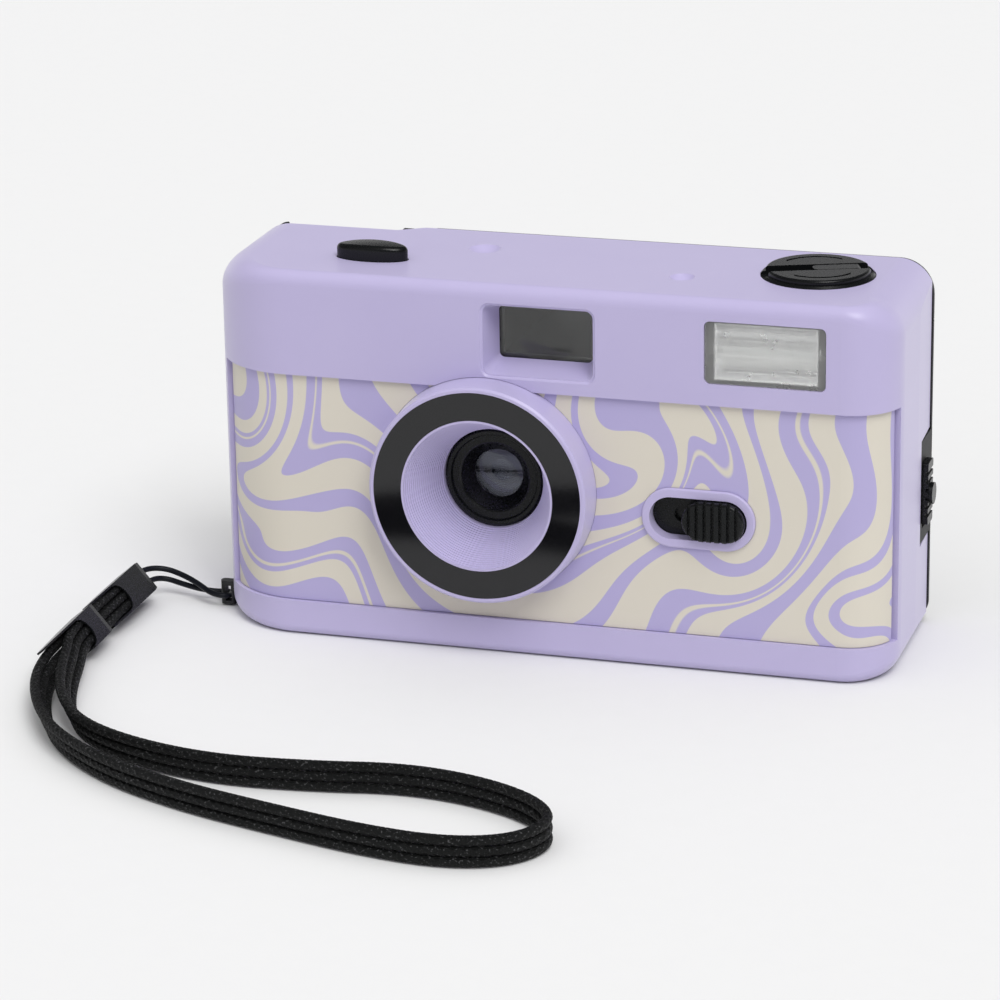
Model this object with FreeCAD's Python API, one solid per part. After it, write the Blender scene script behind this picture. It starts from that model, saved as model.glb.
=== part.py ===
import FreeCAD, Part
import math
import os
from FreeCAD import Vector

# A compact 35 mm film camera with a flash and a wrist strap, in millimetres.
# X runs to the viewer's right and Z runs up. While a piece is made, Y is its depth behind the
# front face. save() then moves the piece so that the origin is the middle of the base.

# Body
body_w = 115.0
body_d = 35.0
back_t = 3.0
cover_d = body_d - back_t
wall = 2.0
film_box_z0 = 4.3
film_box_h = 48.0
film_box_z1 = film_box_z0 + film_box_h
deck_t = 1.2
top_room = 6.5
body_h = film_box_z1 + deck_t + top_room + wall
grip_corner_r = 14.5
end_corner_r = 8.5
top_front_r = 2.2
top_side_r = 6.0
foot_front_r = 1.5
foot_side_r = 3.5
dimple_spots = ((-15.1, 21.4, 2.7), (20.5, 12.3, 2.1))
dimple_depth = 1.0
side_draft = 0.5
side_draft_y = 20.0

# Clearances
seat_gap = 0.05
fit_gap = 0.1
part_gap = 0.25
slide_gap = 0.3
shaft_gap = 0.06

# Printed panel
print_z0 = 5.9
print_z1 = 44.8
print_sink = 0.7
print_t = 0.4
print_left_deg = 58.0
print_right_deg = 78.0
print_end_gap = 0.9
print_edge_gap = 0.12
end_groove = 0.5

# Lens group
lens_x = -9.1
lens_z = 28.3
hood_front = -5.0
hood_front_r = 18.1
hood_base_r = 18.4
hood_cone_r = 12.3
hood_ridges = 20
hood_gap = 0.04
hood_spigot_r = 14.9
plate_inner_r = 12.65
plate_outer_r = 17.3
plate_t = 0.55
plate_seat = 0.6
barrel_r = 8.3
barrel_y0 = 4.9
barrel_y1 = 12.0
barrel_flange_r = 10.5
barrel_flange_t = 1.2
barrel_face_r = 7.1
lens_r = 4.35
front_lens_y = 8.0
front_lens_t = 1.8
rear_lens_t = 1.5
stop_t = 0.3
stop_hole_r = 1.75

# Shutter
shutter_half = 12.2
shutter_t = 1.0
blade_t = 0.4
blade_disc_r = 5.0
blade_arm = (-10.6, -2.2)
blade_pin_r = 0.6
blade_hub_r = 1.6
blade_tail = 2.6
blade_space = 0.95

# Film path
film_y = cover_d - 1.5
gate_w = 36.0
gate_h = 24.0
gate_t = 1.5
gate_front_w = 7.6
gate_front_h = 6.6
shell_t = 1.0
cartridge_x = body_w / 2 - 16.4
cartridge_y = film_y - 11.5
cartridge_r = 13.0
spool_x = -body_w / 2 + 14.1
spool_y = film_y - 11.8
spool_chamber_r = 10.0
spool_r = 5.0
spool_shaft_r = 1.9
spool_slot = 32.0
gear_teeth = 15
gear_module = 0.5
gear_t = 1.1
thumb_r = 9.6
thumb_t = 3.4
thumb_ribs = 48
sprocket_x = spool_x + 13.4
sprocket_y = film_y - 6.1
sprocket_z0 = film_box_z1 - 9.9
sprocket_t = 2.8
sprocket_teeth = 8
sprocket_root_r = 5.4
sprocket_tip_r = 6.05
sprocket_shaft_r = 1.2
counter_x = sprocket_x + 9.1
counter_y = film_y - 5.1
counter_r = 6.0
counter_t = 4.2
counter_finger_r = 2.8

# Battery
battery_x = spool_x + 13.5
battery_y = 9.0
battery_r = 5.6
battery_wall = 0.5
battery_top = 48.2
battery_door_t = 1.5
battery_door_w = 13.6
battery_door_y0 = battery_y - 6.1
battery_hinge_y = battery_y + 7.6
battery_hinge_z = 1.2
battery_hinge_r = 0.95
battery_pin_r = 0.45

# Viewfinder
funnel_outer = (-9.3, 9.1, body_h - 14.9, body_h - 3.2)
funnel_inner = (-7.8, 7.7, body_h - 13.1, body_h - 4.4)
funnel_d = 5.0
funnel_outer_r = 1.3
funnel_inner_r = 0.9
funnel_edge_r = 0.35
eye_w = 7.0
eye_h = 5.4
eye_z = body_h - 5.8
eye_t = 2.4
window_t = 1.0
tunnel_wall = 0.8

# Flash
flash_x0 = 27.1
flash_x1 = 46.7
flash_z0 = body_h - 13.7
flash_z1 = body_h - 3.4
flash_corner_r = 1.0
flash_sink = 0.4
flash_pane_t = 0.8
flash_flange = 0.8
flash_flange_t = 0.3
flash_ribs = 8
reflector_x0 = 28.6
reflector_x1 = 45.1
reflector_low = 0.75
reflector_high = 0.6
reflector_back = 4.7
reflector_t = 0.25
tube_r = 0.9
board_x0 = 13.0
board_x1 = 34.0
board_z0 = 8.0
board_z1 = 46.0
board_y = 5.2
board_t = 1.2
board_parts = ((3.0, 33.5, 4.0, 3.0, 1.6), (9.0, 33.0, 3.0, 4.0, 2.2), (14.0, 8.0, 3.5, 3.5, 1.0))
capacitor_x = 19.5
capacitor_r = 4.5
capacitor_h = 30.0
lamp_x = 14.0
lamp_r = 1.3
lamp_flange_t = 1.9

# Flash switch
switch_x = 26.15
switch_z = 25.6
bezel_w = 18.6
bezel_h = 9.9
bezel_proud = 0.6
slot_w = 16.0
slot_h = 7.0
bezel_d = 3.2
switch_head_w = 10.3
switch_head_h = 6.6
switch_proud = 1.9
switch_grooves = 7
switch_neck = 3.0
switch_gap = 0.2
switch_foot_w = 15.6

# Shutter button
button_x = -31.25
button_y = 11.7
button_a = 6.0
button_b = 2.6
button_proud = 2.6
button_crown = 0.45
button_edge_r = 0.8
button_flange = 0.6
lever_t = 1.0
lever_x = -21.6
lever_y = 14.2
lever_w = 1.2
lever_z = 28.6
spring_wire = 0.35
button_spring_r = 1.5

# Rewind knob
knob_r = 9.15
knob_well = 1.0
knob_lip = 0.4
knob_rise = 1.2
knob_floor_t = 0.6
knob_land_r = 8.4
knob_slot_w = 3.4
knob_turn = 21.0
knob_shaft_r = 2.0
fork_r = 3.0
fork_z0 = film_box_z1 - 3.5
clip_r = 3.2
clip_t = 1.0
crank_w = 2.6
crank_t = 1.2
crank_len = 7.2
crank_pin_x = 6.3
crank_pin_r = 0.4
crank_stud = 0.9

# Back
rear_split_z = film_box_z1 - 0.55
rear_wall = 1.6
rear_edge_r = 2.2
hinge_x = -body_w / 2 + 1.8
hinge_y = body_d - 1.1
hinge_r = 1.6
pin_r = 0.6
knuckle_z = (4.0, 14.0, 38.0, 48.0)
tab_z0 = 15.8
tab_z1 = 33.8
tab_y = cover_d - 8.3
tab_t = 1.5
latch_y0 = cover_d - 7.2
latch_y1 = cover_d - 3.2
latch_z0 = 19.2
latch_z1 = 29.8
latch_proud = 1.0
latch_travel = 3.0
latch_ribs = 6
lug_pad_r = 1.8
thumb_y_edge = cover_d - 2.6
thumb_x0 = spool_x - 9.6
thumb_x1 = spool_x + 10.6
thumb_x2 = spool_x + 16.4
thumb_corner = 1.6
cover_drop = 0.95
pressure_w = 40.0
pressure_h = 34.0
pressure_t = 0.8
pressure_spring_w = 26.0
pressure_spring_h = 8.0
seal_w = 2.4
film_gap = 0.35

# Rewind release button and screws
release_r = 2.0
release_flange_r = 2.8
release_travel = 1.2
screw_head_r = 1.6
screw_head_t = 1.0
screw_r = 0.8
screw_len = 6.0
screw_y = cover_d - 10.0
base_screws = ((-20.0, screw_y), (18.0, screw_y))
rear_screws = (spool_x + 13.9, 18.0, body_w / 2 - 7.5)
rear_screw_z = body_h - 5.0
boss_r = 2.0

# Strap
lug_y0 = 10.3
lug_y1 = 11.9
lug_z0 = 0.2
lug_z1 = 4.3
lug_reach = 1.9
lug_bar = 0.9
lug_root = 0.7
lug_low_arm = 0.6
lug_top_arm = 0.8
lug_stem_z0 = 2.6
thin_d = 0.95
braid_d = 1.6
braid_pitch = 1.65
clip_long = 5.7
clip_short = 4.15
clip_wall = 0.35
clip_cap = 5.0
clip_roll = 40.0
clip_tip = 0.3
clip_a_head = (-73.3, 8.5, 3.6)
clip_a_tail = (-73.05, -11.5, 3.6)
clip_a_ends = (12.0, 20.0, 18.0)
clip_b_head = (-73.0, -12.6, 3.6)
clip_b_tail = (-72.2, -32.6, 3.6)
clip_b_ends = (8.0, 20.0, 8.2)

# Middle line of the wrist loop: x, depth, height of the middle cord, and the lean of the
# stack of three cords to the left of the way along it, in degrees from upright.
loop_route = (
    (-72.61, 3.45, 4.13, -40), (-72.5, -5.2, 4.13, -40), (-72.31, -14.0, 4.13, -40),
    (-71.97, -22.5, 4.13, -40), (-69.8, -29.0, 3.9, -40), (-67.4, -38.0, 3.3, -34),
    (-63.9, -46.4, 2.9, -26), (-57.4, -55.4, 2.65, -14), (-46.0, -61.4, 2.5, -6),
    (-32.0, -64.4, 2.48, -3), (-17.0, -63.2, 2.48, 0), (-3.6, -60.6, 2.48, 0),
    (8.6, -62.4, 2.48, 0), (19.0, -67.4, 2.48, 0), (23.6, -74.4, 2.48, 0),
    (20.0, -82.2, 2.48, 0), (10.6, -85.6, 2.48, 0), (-2.4, -84.2, 2.48, 2),
    (-17.6, -80.2, 2.48, 4), (-33.4, -75.6, 2.48, 6), (-48.4, -68.8, 2.48, 10),
    (-60.2, -59.4, 2.55, 16), (-66.6, -49.8, 2.7, 26), (-70.8, -40.4, 2.9, 34),
    (-72.75, -31.5, 3.05, 40), (-73.23, -23.0, 3.07, 40), (-73.57, -14.0, 3.07, 40),
    (-73.76, -5.2, 3.07, 40), (-73.87, 3.45, 3.07, 40))

# Loop of thin cord from the end clip through the lug, round its bar and back.
thin_route = (
    (-73.4, 8.55, 4.95), (-73.2, 11.2, 4.95), (-70.4, 13.4, 4.5), (-66.8, 13.0, 3.6),
    (-63.6, 11.4, 2.9), (-60.6, 9.3, 2.2), (-58.0, 9.3, 2.0), (-57.95, 12.2, 1.35),
    (-58.9, 13.7, 1.3), (-61.0, 12.8, 1.35), (-64.0, 12.4, 1.7), (-67.3, 12.8, 2.2),
    (-70.2, 13.1, 2.8), (-71.9, 11.0, 3.3), (-72.0, 8.6, 3.3))

top_wall_z = body_h - wall
deck_z = film_box_z1 + deck_t
floor_z = film_box_z0 - 1.3
gear_z = deck_z + 0.4
thumb_y = spool_y + gear_module * gear_teeth
print_floor = print_sink + print_t
shutter_y = barrel_y1 + seat_gap
blade_y = shutter_y + shutter_t + slide_gap
box_front = shutter_y + shutter_t + blade_space
eye_x = 0.5 * (funnel_inner[0] + funnel_inner[1])
eps = 0.01


def save(name, shape):
    """Write one piece, with Y counted from the middle of the body's depth."""
    moved = shape.copy()
    moved.translate(Vector(0, -body_d / 2, 0))
    moved.exportStep("parts/" + name + ".step")
    print(name, "solids", len(moved.Solids), "volume", round(moved.Volume, 1), moved.isValid())


def box(x0, x1, y0, y1, z0, z1):
    """Box between two corners."""
    return Part.makeBox(x1 - x0, y1 - y0, z1 - z0, Vector(x0, y0, z0))


def cyl_x(y, z, r, x0, x1):
    """Cylinder along X."""
    return Part.makeCylinder(r, x1 - x0, Vector(x0, y, z), Vector(1, 0, 0))


def cyl_y(x, z, r, y0, y1):
    """Cylinder along Y."""
    return Part.makeCylinder(r, y1 - y0, Vector(x, y0, z), Vector(0, 1, 0))


def cyl_z(x, y, r, z0, z1):
    """Cylinder along Z."""
    return Part.makeCylinder(r, z1 - z0, Vector(x, y, z0), Vector(0, 0, 1))


def oval_z(x, y, a, b, z0, z1):
    """Upright prism over an ellipse with half axes a along X and b along Y."""
    rim = Part.Ellipse(Vector(x, y, z0), a, b).toShape()
    return Part.Face(Part.Wire(rim)).extrude(Vector(0, 0, z1 - z0))


def fuse(shapes):
    """One solid of several that overlap."""
    whole = shapes[0]
    if len(shapes) > 1:
        whole = shapes[0].multiFuse(shapes[1:])
    return whole.removeSplitter()


def polygon(points):
    """Flat face through a closed list of points."""
    return Part.Face(Part.makePolygon(list(points) + [points[0]]))


def oval_y(x, z, w, h, y0, y1):
    """Slot shape, round at both ends, drawn out along Y."""
    r = h / 2
    half = w / 2 - r
    return fuse([box(x - half, x + half, y0, y1, z - r, z + r),
                 cyl_y(x - half, z, r, y0, y1), cyl_y(x + half, z, r, y0, y1)])


def soft_box(x0, x1, y0, y1, z0, z1, r, along):
    """Box with its four edges along one axis rounded."""
    body = box(x0, x1, y0, y1, z0, z1)
    picked = []
    for edge in body.Edges:
        way = edge.tangentAt(edge.FirstParameter)
        if abs(getattr(way, along)) > 0.9:
            picked.append(edge)
    return body.makeFillet(r, picked)


def rect_wire(x0, x1, z0, z1, y):
    """Closed rectangle in a plane square to Y."""
    corners = [Vector(x0, y, z0), Vector(x1, y, z0), Vector(x1, y, z1), Vector(x0, y, z1)]
    return Part.makePolygon(corners + [corners[0]])


def soft_wire(x0, x1, z0, z1, r, y):
    """Closed rectangle with round corners, in a plane square to Y."""
    k = r * (1 - math.sqrt(0.5))
    lines = [(x0 + r, z0, x1 - r, z0), (x1, z0 + r, x1, z1 - r),
             (x1 - r, z1, x0 + r, z1), (x0, z1 - r, x0, z0 + r)]
    bows = [(x1 - k, z0 + k), (x1 - k, z1 - k), (x0 + k, z1 - k), (x0 + k, z0 + k)]
    edges = []
    for n, (xa, za, xb, zb) in enumerate(lines):
        xc, zc = lines[(n + 1) % 4][:2]
        edges.append(Part.makeLine(Vector(xa, y, za), Vector(xb, y, zb)))
        bow = Vector(bows[n][0], y, bows[n][1])
        edges.append(Part.Arc(Vector(xb, y, zb), bow, Vector(xc, y, zc)).toShape())
    return Part.Wire(edges)


def lens_turn(profile):
    """Body turned about the lens axis, from (radius, depth) points."""
    face = polygon([Vector(lens_x + r, y, lens_z) for r, y in profile])
    return face.revolve(Vector(lens_x, 0, lens_z), Vector(0, 1, 0), 360)


def edge_fillet(shape, radius_at, chosen):
    """Fillet the chosen edges, with a radius that may change from end to end."""
    doc = FreeCAD.newDocument()
    base = doc.addObject("Part::Feature", "base")
    base.Shape = shape
    fillet = doc.addObject("Part::Fillet", "fillet")
    fillet.Base = base
    edges = []
    for index, edge in enumerate(shape.Edges):
        if chosen(edge):
            start = edge.valueAt(edge.FirstParameter)
            end = edge.valueAt(edge.LastParameter)
            edges.append((index + 1, radius_at(start), radius_at(end)))
    fillet.Edges = edges
    doc.recompute()
    result = fillet.Shape.copy()
    FreeCAD.closeDocument(doc.Name)
    return result


def plan_wire(inset, back):
    """Outline of the body seen from above, drawn in by the inset."""
    x0 = -body_w / 2 + inset
    x1 = body_w / 2 - inset
    left = max(grip_corner_r - inset, 0.5)
    right = max(end_corner_r - inset, 0.5)
    k = 1 - math.sqrt(0.5)
    left_mid = Vector(x0 + left * k, inset + left * k, 0)
    right_mid = Vector(x1 - right * k, inset + right * k, 0)
    start, lend = Vector(x0, back, 0), Vector(x0, inset + left, 0)
    lfront, rfront = Vector(x0 + left, inset, 0), Vector(x1 - right, inset, 0)
    rend, finish = Vector(x1, inset + right, 0), Vector(x1, back, 0)
    return Part.Wire([Part.makeLine(start, lend),
                      Part.Arc(lend, left_mid, lfront).toShape(),
                      Part.makeLine(lfront, rfront),
                      Part.Arc(rfront, right_mid, rend).toShape(),
                      Part.makeLine(rend, finish), Part.makeLine(finish, start)])


def body_block(inset, back):
    """Rounded block of the body, drawn in by the inset on every side but the back."""
    low, high = inset, body_h - inset
    block = Part.Face(plan_wire(inset, back)).extrude(Vector(0, 0, high - low))
    block.translate(Vector(0, 0, low))
    for level, front_r, side_r in ((high, top_front_r, top_side_r), (low, foot_front_r, foot_side_r)):
        front = max(front_r - inset, 0.3)
        side = max(side_r - inset, 0.3)

        def radius_at(point):
            return front if point.y < inset + eps else side

        def chosen(edge):
            ends = [vertex.Point for vertex in edge.Vertexes]
            on_level = all(abs(p.z - level) < eps for p in ends)
            at_back = all(abs(p.y - back) < eps for p in ends)
            return on_level and not at_back

        block = edge_fillet(block, radius_at, chosen)
    return block


def wrap_strip(outer, inner, left_deg, right_deg, z0, z1):
    """Strip that follows the front round both corners, between two insets."""
    left = Vector(-body_w / 2 + grip_corner_r, grip_corner_r, 0)
    right = Vector(body_w / 2 - end_corner_r, end_corner_r, 0)

    def at(centre, radius, deg):
        turn = math.radians(deg)
        return Vector(centre.x + radius * math.sin(turn), centre.y - radius * math.cos(turn), 0)

    def side(inset):
        lr, rr = grip_corner_r - inset, end_corner_r - inset
        return (at(left, lr, -left_deg), at(left, lr, -left_deg / 2), at(left, lr, 0),
                at(right, rr, 0), at(right, rr, right_deg / 2), at(right, rr, right_deg))

    o, i = side(outer), side(inner)
    wire = Part.Wire([Part.Arc(o[0], o[1], o[2]).toShape(), Part.makeLine(o[2], o[3]),
                      Part.Arc(o[3], o[4], o[5]).toShape(), Part.makeLine(o[5], i[5]),
                      Part.Arc(i[5], i[4], i[3]).toShape(), Part.makeLine(i[3], i[2]),
                      Part.Arc(i[2], i[1], i[0]).toShape(), Part.makeLine(i[0], o[0])])
    strip = Part.Face(wire).extrude(Vector(0, 0, z1 - z0))
    strip.translate(Vector(0, 0, z0))
    return strip


def end_angle(gap, radius):
    """Angle that an end gap takes on a corner."""
    return math.degrees(gap / radius)


def make_front_cover():
    """Lilac moulded shell, open at the back."""
    shell = body_block(0, cover_d).cut(body_block(wall, cover_d + 1))
    fi, fo = funnel_inner, funnel_outer
    rim = 2.0
    funnel = box(fi[0] - rim, fi[1] + rim, wall - eps, funnel_d, fi[2] - rim, fi[3] + rim)
    shell = shell.fuse(funnel)
    cuts = [wrap_strip(-1.0, print_floor, print_left_deg, print_right_deg, print_z0, print_z1)]
    cuts.append(cyl_y(lens_x, lens_z, hood_base_r + hood_gap, -1, print_floor))
    groove_deg = print_right_deg - end_angle(print_end_gap, end_corner_r)
    groove = wrap_strip(-1.0, print_floor + end_groove, print_left_deg, print_right_deg, print_z0, print_z1)
    cuts.append(groove.cut(wrap_strip(-2.0, wall + 1, print_left_deg + 1, groove_deg,
                                      print_z0 - 1, print_z1 + 1)))
    side = body_w / 2
    wedge = polygon([Vector(side + eps, side_draft_y, -1), Vector(side - side_draft, cover_d, -1),
                     Vector(side - side_draft, cover_d + 1, -1), Vector(side + 1, cover_d + 1, -1)])
    cuts.append(wedge.extrude(Vector(0, 0, body_h + 2)))
    cuts.append(cyl_y(lens_x, lens_z, hood_spigot_r + fit_gap, -1, wall + 1))
    mouth = Part.makeLoft([soft_wire(fo[0], fo[1], fo[2], fo[3], funnel_outer_r, 0),
                           soft_wire(fi[0], fi[1], fi[2], fi[3], funnel_inner_r, funnel_d + eps)], True, True)
    cuts.append(mouth)
    grow = funnel_edge_r
    cuts.append(Part.makeLoft([soft_wire(fo[0] - grow, fo[1] + grow, fo[2] - grow, fo[3] + grow,
                                         funnel_outer_r + grow, -eps),
                               soft_wire(fo[0] - eps, fo[1] + eps, fo[2] - eps, fo[3] + eps,
                                         funnel_outer_r, grow)], True, True))
    cuts.append(soft_box(flash_x0, flash_x1, -1, wall + 1, flash_z0, flash_z1, flash_corner_r, "y"))
    cuts.append(oval_y(switch_x, switch_z, slot_w + 1.4, slot_h + 1.9, -1, wall + 1))
    cuts.append(oval_z(button_x, button_y, button_a + 0.15, button_b + 0.15, top_wall_z - 1, body_h + 1))
    cuts.append(cyl_z(cartridge_x, cartridge_y, knob_shaft_r + shaft_gap, top_wall_z - 1, body_h + 1))
    cuts.append(cyl_z(cartridge_x, cartridge_y, knob_r + fit_gap, body_h - knob_well, body_h + 1))
    for x, y, r in dimple_spots:
        ball = (r * r + dimple_depth * dimple_depth) / (2 * dimple_depth)
        cuts.append(Part.makeSphere(ball, Vector(x, y, body_h - dimple_depth + ball)))
    level = top_wall_z - 1
    notch = polygon([Vector(-side - 1, cover_d + 1, level), Vector(-side - 1, cover_d - thumb_corner, level),
                     Vector(thumb_x0, thumb_y_edge, level), Vector(thumb_x1, thumb_y_edge, level),
                     Vector(thumb_x2, cover_d + 1, level)])
    cuts.append(notch.extrude(Vector(0, 0, wall + 2)))
    cuts.append(box(body_w / 2 - wall - 1, body_w / 2 + 1, tab_y, cover_d + 1, tab_z0, tab_z1))
    half = battery_door_w / 2 + slide_gap
    cuts.append(box(battery_x - half, battery_x + half, battery_door_y0 - slide_gap,
                    battery_hinge_y + battery_hinge_r + slide_gap, -1, wall + 1))
    cuts.append(cyl_z(sprocket_x, sprocket_y, release_r + slide_gap / 2, -1, wall + 1))
    for x, y in base_screws:
        cuts.append(cyl_z(x, y, screw_r + fit_gap, -1, wall + 1))
        cuts.append(cyl_z(x, y, screw_head_r + fit_gap, -1, screw_head_t + 0.2))
    for x1, z0 in ((-body_w / 2 + lug_root, lug_z0), (-body_w / 2 + wall + 1, lug_stem_z0)):
        cuts.append(box(-body_w / 2 - 1, x1 + fit_gap, lug_y0 - fit_gap, lug_y1 + fit_gap,
                        z0 - fit_gap, lug_z1 + fit_gap))
    return shell.cut(Part.Compound(cuts)).removeSplitter()


def make_front_panel():
    """Thin printed skin that wraps both front corners."""
    left = print_left_deg - end_angle(print_end_gap, grip_corner_r)
    right = print_right_deg - end_angle(print_end_gap, end_corner_r)
    skin = wrap_strip(print_sink, print_floor - seat_gap, left, right,
                      print_z0 + print_edge_gap, print_z1 - print_edge_gap)
    skin = skin.cut(cyl_y(lens_x, lens_z, hood_base_r + hood_gap, -1, wall))
    return skin.cut(oval_y(switch_x, switch_z, bezel_w + fit_gap, bezel_h + fit_gap, -1, wall))


def make_lens_hood():
    """Ring round the lens with a cone of fine ridges inside."""
    hole = barrel_r + fit_gap
    cone_y0 = hood_front
    cone_y1 = barrel_y0 - fit_gap
    profile = [(hood_front_r - 0.35, hood_front), (hood_front_r, hood_front + 0.35),
               (hood_base_r, print_floor - seat_gap), (hood_spigot_r, print_floor - seat_gap),
               (hood_spigot_r, cone_y1 + 1.9), (hole, cone_y1 + 1.9), (hole, cone_y1)]
    step_r = (hood_cone_r - hole) / hood_ridges
    step_y = (cone_y1 - cone_y0 - plate_seat) / hood_ridges
    for k in range(hood_ridges):
        top = cone_y1 - step_y * (k + 1)
        profile.append((hole + step_r * (k + 0.25), top + 0.15 * step_y))
        profile.append((hole + step_r * (k + 1), top))
    profile.append((hood_cone_r, hood_front))
    profile.append((plate_inner_r, hood_front))
    profile.append((plate_inner_r, hood_front + plate_seat))
    profile.append((plate_outer_r, hood_front + plate_seat))
    profile.append((plate_outer_r, hood_front))
    return lens_turn(profile)


def make_nameplate_ring():
    """Glossy ring set in the front of the hood."""
    back = hood_front + plate_seat - seat_gap
    inner, outer = plate_inner_r + fit_gap / 2, plate_outer_r - fit_gap / 2
    return lens_turn([(inner, back - plate_t), (outer, back - plate_t), (outer, back), (inner, back)])


def make_lens_barrel():
    """Black barrel with a stepped front that holds both lenses."""
    bore = lens_r + seat_gap
    y0, y1 = barrel_y0, barrel_y1
    flange_y = barrel_y0 - fit_gap + 1.9 + seat_gap
    return lens_turn([(barrel_r - 0.4, y0), (barrel_r, y0 + 0.4), (barrel_r, flange_y),
                      (barrel_flange_r, flange_y), (barrel_flange_r, flange_y + barrel_flange_t),
                      (barrel_r, flange_y + barrel_flange_t), (barrel_r, y1), (bore, y1),
                      (bore, front_lens_y - seat_gap), (lens_r - 0.25, front_lens_y - seat_gap),
                      (lens_r - 0.25, front_lens_y - 0.3), (barrel_face_r - 1.35, y0 + 0.85),
                      (barrel_face_r - 1.35, y0 + 0.6), (barrel_face_r - 1.1, y0 + 0.45),
                      (barrel_face_r, y0 + 0.45), (barrel_face_r + 0.25, y0)])


def make_disc_lens(y0, thick, bulge_front, bulge_back):
    """Round glass, curved on both faces by the given heights."""
    def ball(bulge):
        return (lens_r * lens_r + bulge * bulge) / (2 * bulge)

    front, back = ball(bulge_front), ball(bulge_back)
    glass = cyl_y(lens_x, lens_z, lens_r, y0, y0 + thick)
    glass = glass.common(Part.makeSphere(front, Vector(lens_x, y0 + front, lens_z)))
    return glass.common(Part.makeSphere(back, Vector(lens_x, y0 + thick - back, lens_z)))


def make_aperture_stop():
    """Blackened disc with the fixed stop."""
    y0 = front_lens_y + front_lens_t + seat_gap
    outer = cyl_y(lens_x, lens_z, lens_r, y0, y0 + stop_t)
    return outer.cut(cyl_y(lens_x, lens_z, stop_hole_r, y0 - 1, y0 + 1))


def blade_pivot():
    """Place of the blade's pin, in X and Z."""
    return lens_x + blade_arm[0], lens_z + blade_arm[1]


def make_shutter_plate():
    """Plate behind the lens that carries the blade on a pin."""
    y0, y1 = shutter_y, shutter_y + shutter_t
    plate = soft_box(lens_x - shutter_half, lens_x + shutter_half, y0, y1,
                     lens_z - shutter_half, lens_z + shutter_half, 2.0, "y")
    plate = plate.cut(cyl_y(lens_x, lens_z, lens_r - 0.35, y0 - 1, y1 + 1))
    px, pz = blade_pivot()
    pin = cyl_y(px, pz, blade_pin_r, y0 + eps, box_front - seat_gap)
    boss = cyl_y(px, pz, 0.9, y0 - 1.1, y0 + eps)
    return fuse([plate, pin, boss])


def make_shutter_blade():
    """Thin blade that covers the lens opening, with a short tail."""
    px, pz = blade_pivot()
    y0, y1 = blade_y, blade_y + blade_t
    disc = cyl_y(lens_x, lens_z, blade_disc_r, y0, y1)
    hub = cyl_y(px, pz, blade_hub_r, y0, y1)
    length = math.hypot(blade_arm[0], blade_arm[1])
    ux, uz = -blade_arm[0] / length, -blade_arm[1] / length
    nx, nz = -uz, ux
    half = 1.3
    arm = polygon([Vector(px + nx * half, y0, pz + nz * half),
                   Vector(px - nx * half, y0, pz - nz * half),
                   Vector(lens_x - nx * 3, y0, lens_z - nz * 3),
                   Vector(lens_x + nx * 3, y0, lens_z + nz * 3)])
    tx, tz = px - ux * blade_tail, pz - uz * blade_tail
    tail = polygon([Vector(px + nx, y0, pz + nz), Vector(tx + nx / 2, y0, tz + nz / 2),
                    Vector(tx - nx / 2, y0, tz - nz / 2), Vector(px - nx, y0, pz - nz)])
    shapes = [disc, hub, arm.extrude(Vector(0, blade_t, 0)), tail.extrude(Vector(0, blade_t, 0))]
    return fuse(shapes).cut(cyl_y(px, pz, blade_pin_r + shaft_gap, y0 - 1, y1 + 1))


def coil(x, y, z0, z1, r, wire, turns):
    """Coil spring along Z, as one round wire in quarter turns."""
    rise = (z1 - z0 - wire) / turns

    def at(share):
        turn = 2 * math.pi * share
        return Vector(x + r * math.cos(turn), y + r * math.sin(turn), z0 + wire / 2 + rise * share)

    edges = []
    for k in range(4 * turns):
        edges.append(Part.Arc(at(k / 4), at((k + 0.5) / 4), at((k + 1) / 4)).toShape())
    way = edges[0].tangentAt(edges[0].FirstParameter)
    section = Part.Wire(Part.Circle(at(0), way, wire / 2).toShape())
    return Part.Wire(edges).makePipeShell([section], True, False)


def make_blade_spring():
    """Flat ring spring round the blade's boss, with one leg."""
    px, pz = blade_pivot()
    y0 = shutter_y - 0.65
    ring = cyl_y(px, pz, 1.5, y0, y0 + 0.6).cut(cyl_y(px, pz, 1.0, y0 - 1, y0 + 1))
    leg = box(px - 0.2, px + 0.2, y0 + 0.15, y0 + 0.45, pz - 5.5, pz - 1.2)
    return fuse([ring, leg])


def gear(x, y, z0, z1, teeth, module, phase):
    """Small spur gear with straight-sided teeth."""
    tip = module * (teeth + 1.6) / 2
    root = module * (teeth - 2.5) / 2
    points = []
    for k in range(teeth):
        for share, radius in ((-0.27, root), (-0.12, tip), (0.12, tip), (0.27, root)):
            turn = math.radians(phase) + 2 * math.pi * (k + share) / teeth
            points.append(Vector(x + radius * math.cos(turn), y + radius * math.sin(turn), z0))
    return polygon(points).extrude(Vector(0, 0, z1 - z0))


def seam_x():
    """Planes where the two film housings meet the chassis between them."""
    return spool_x + spool_chamber_r + shell_t, cartridge_x - cartridge_r - 2 * shell_t


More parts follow.
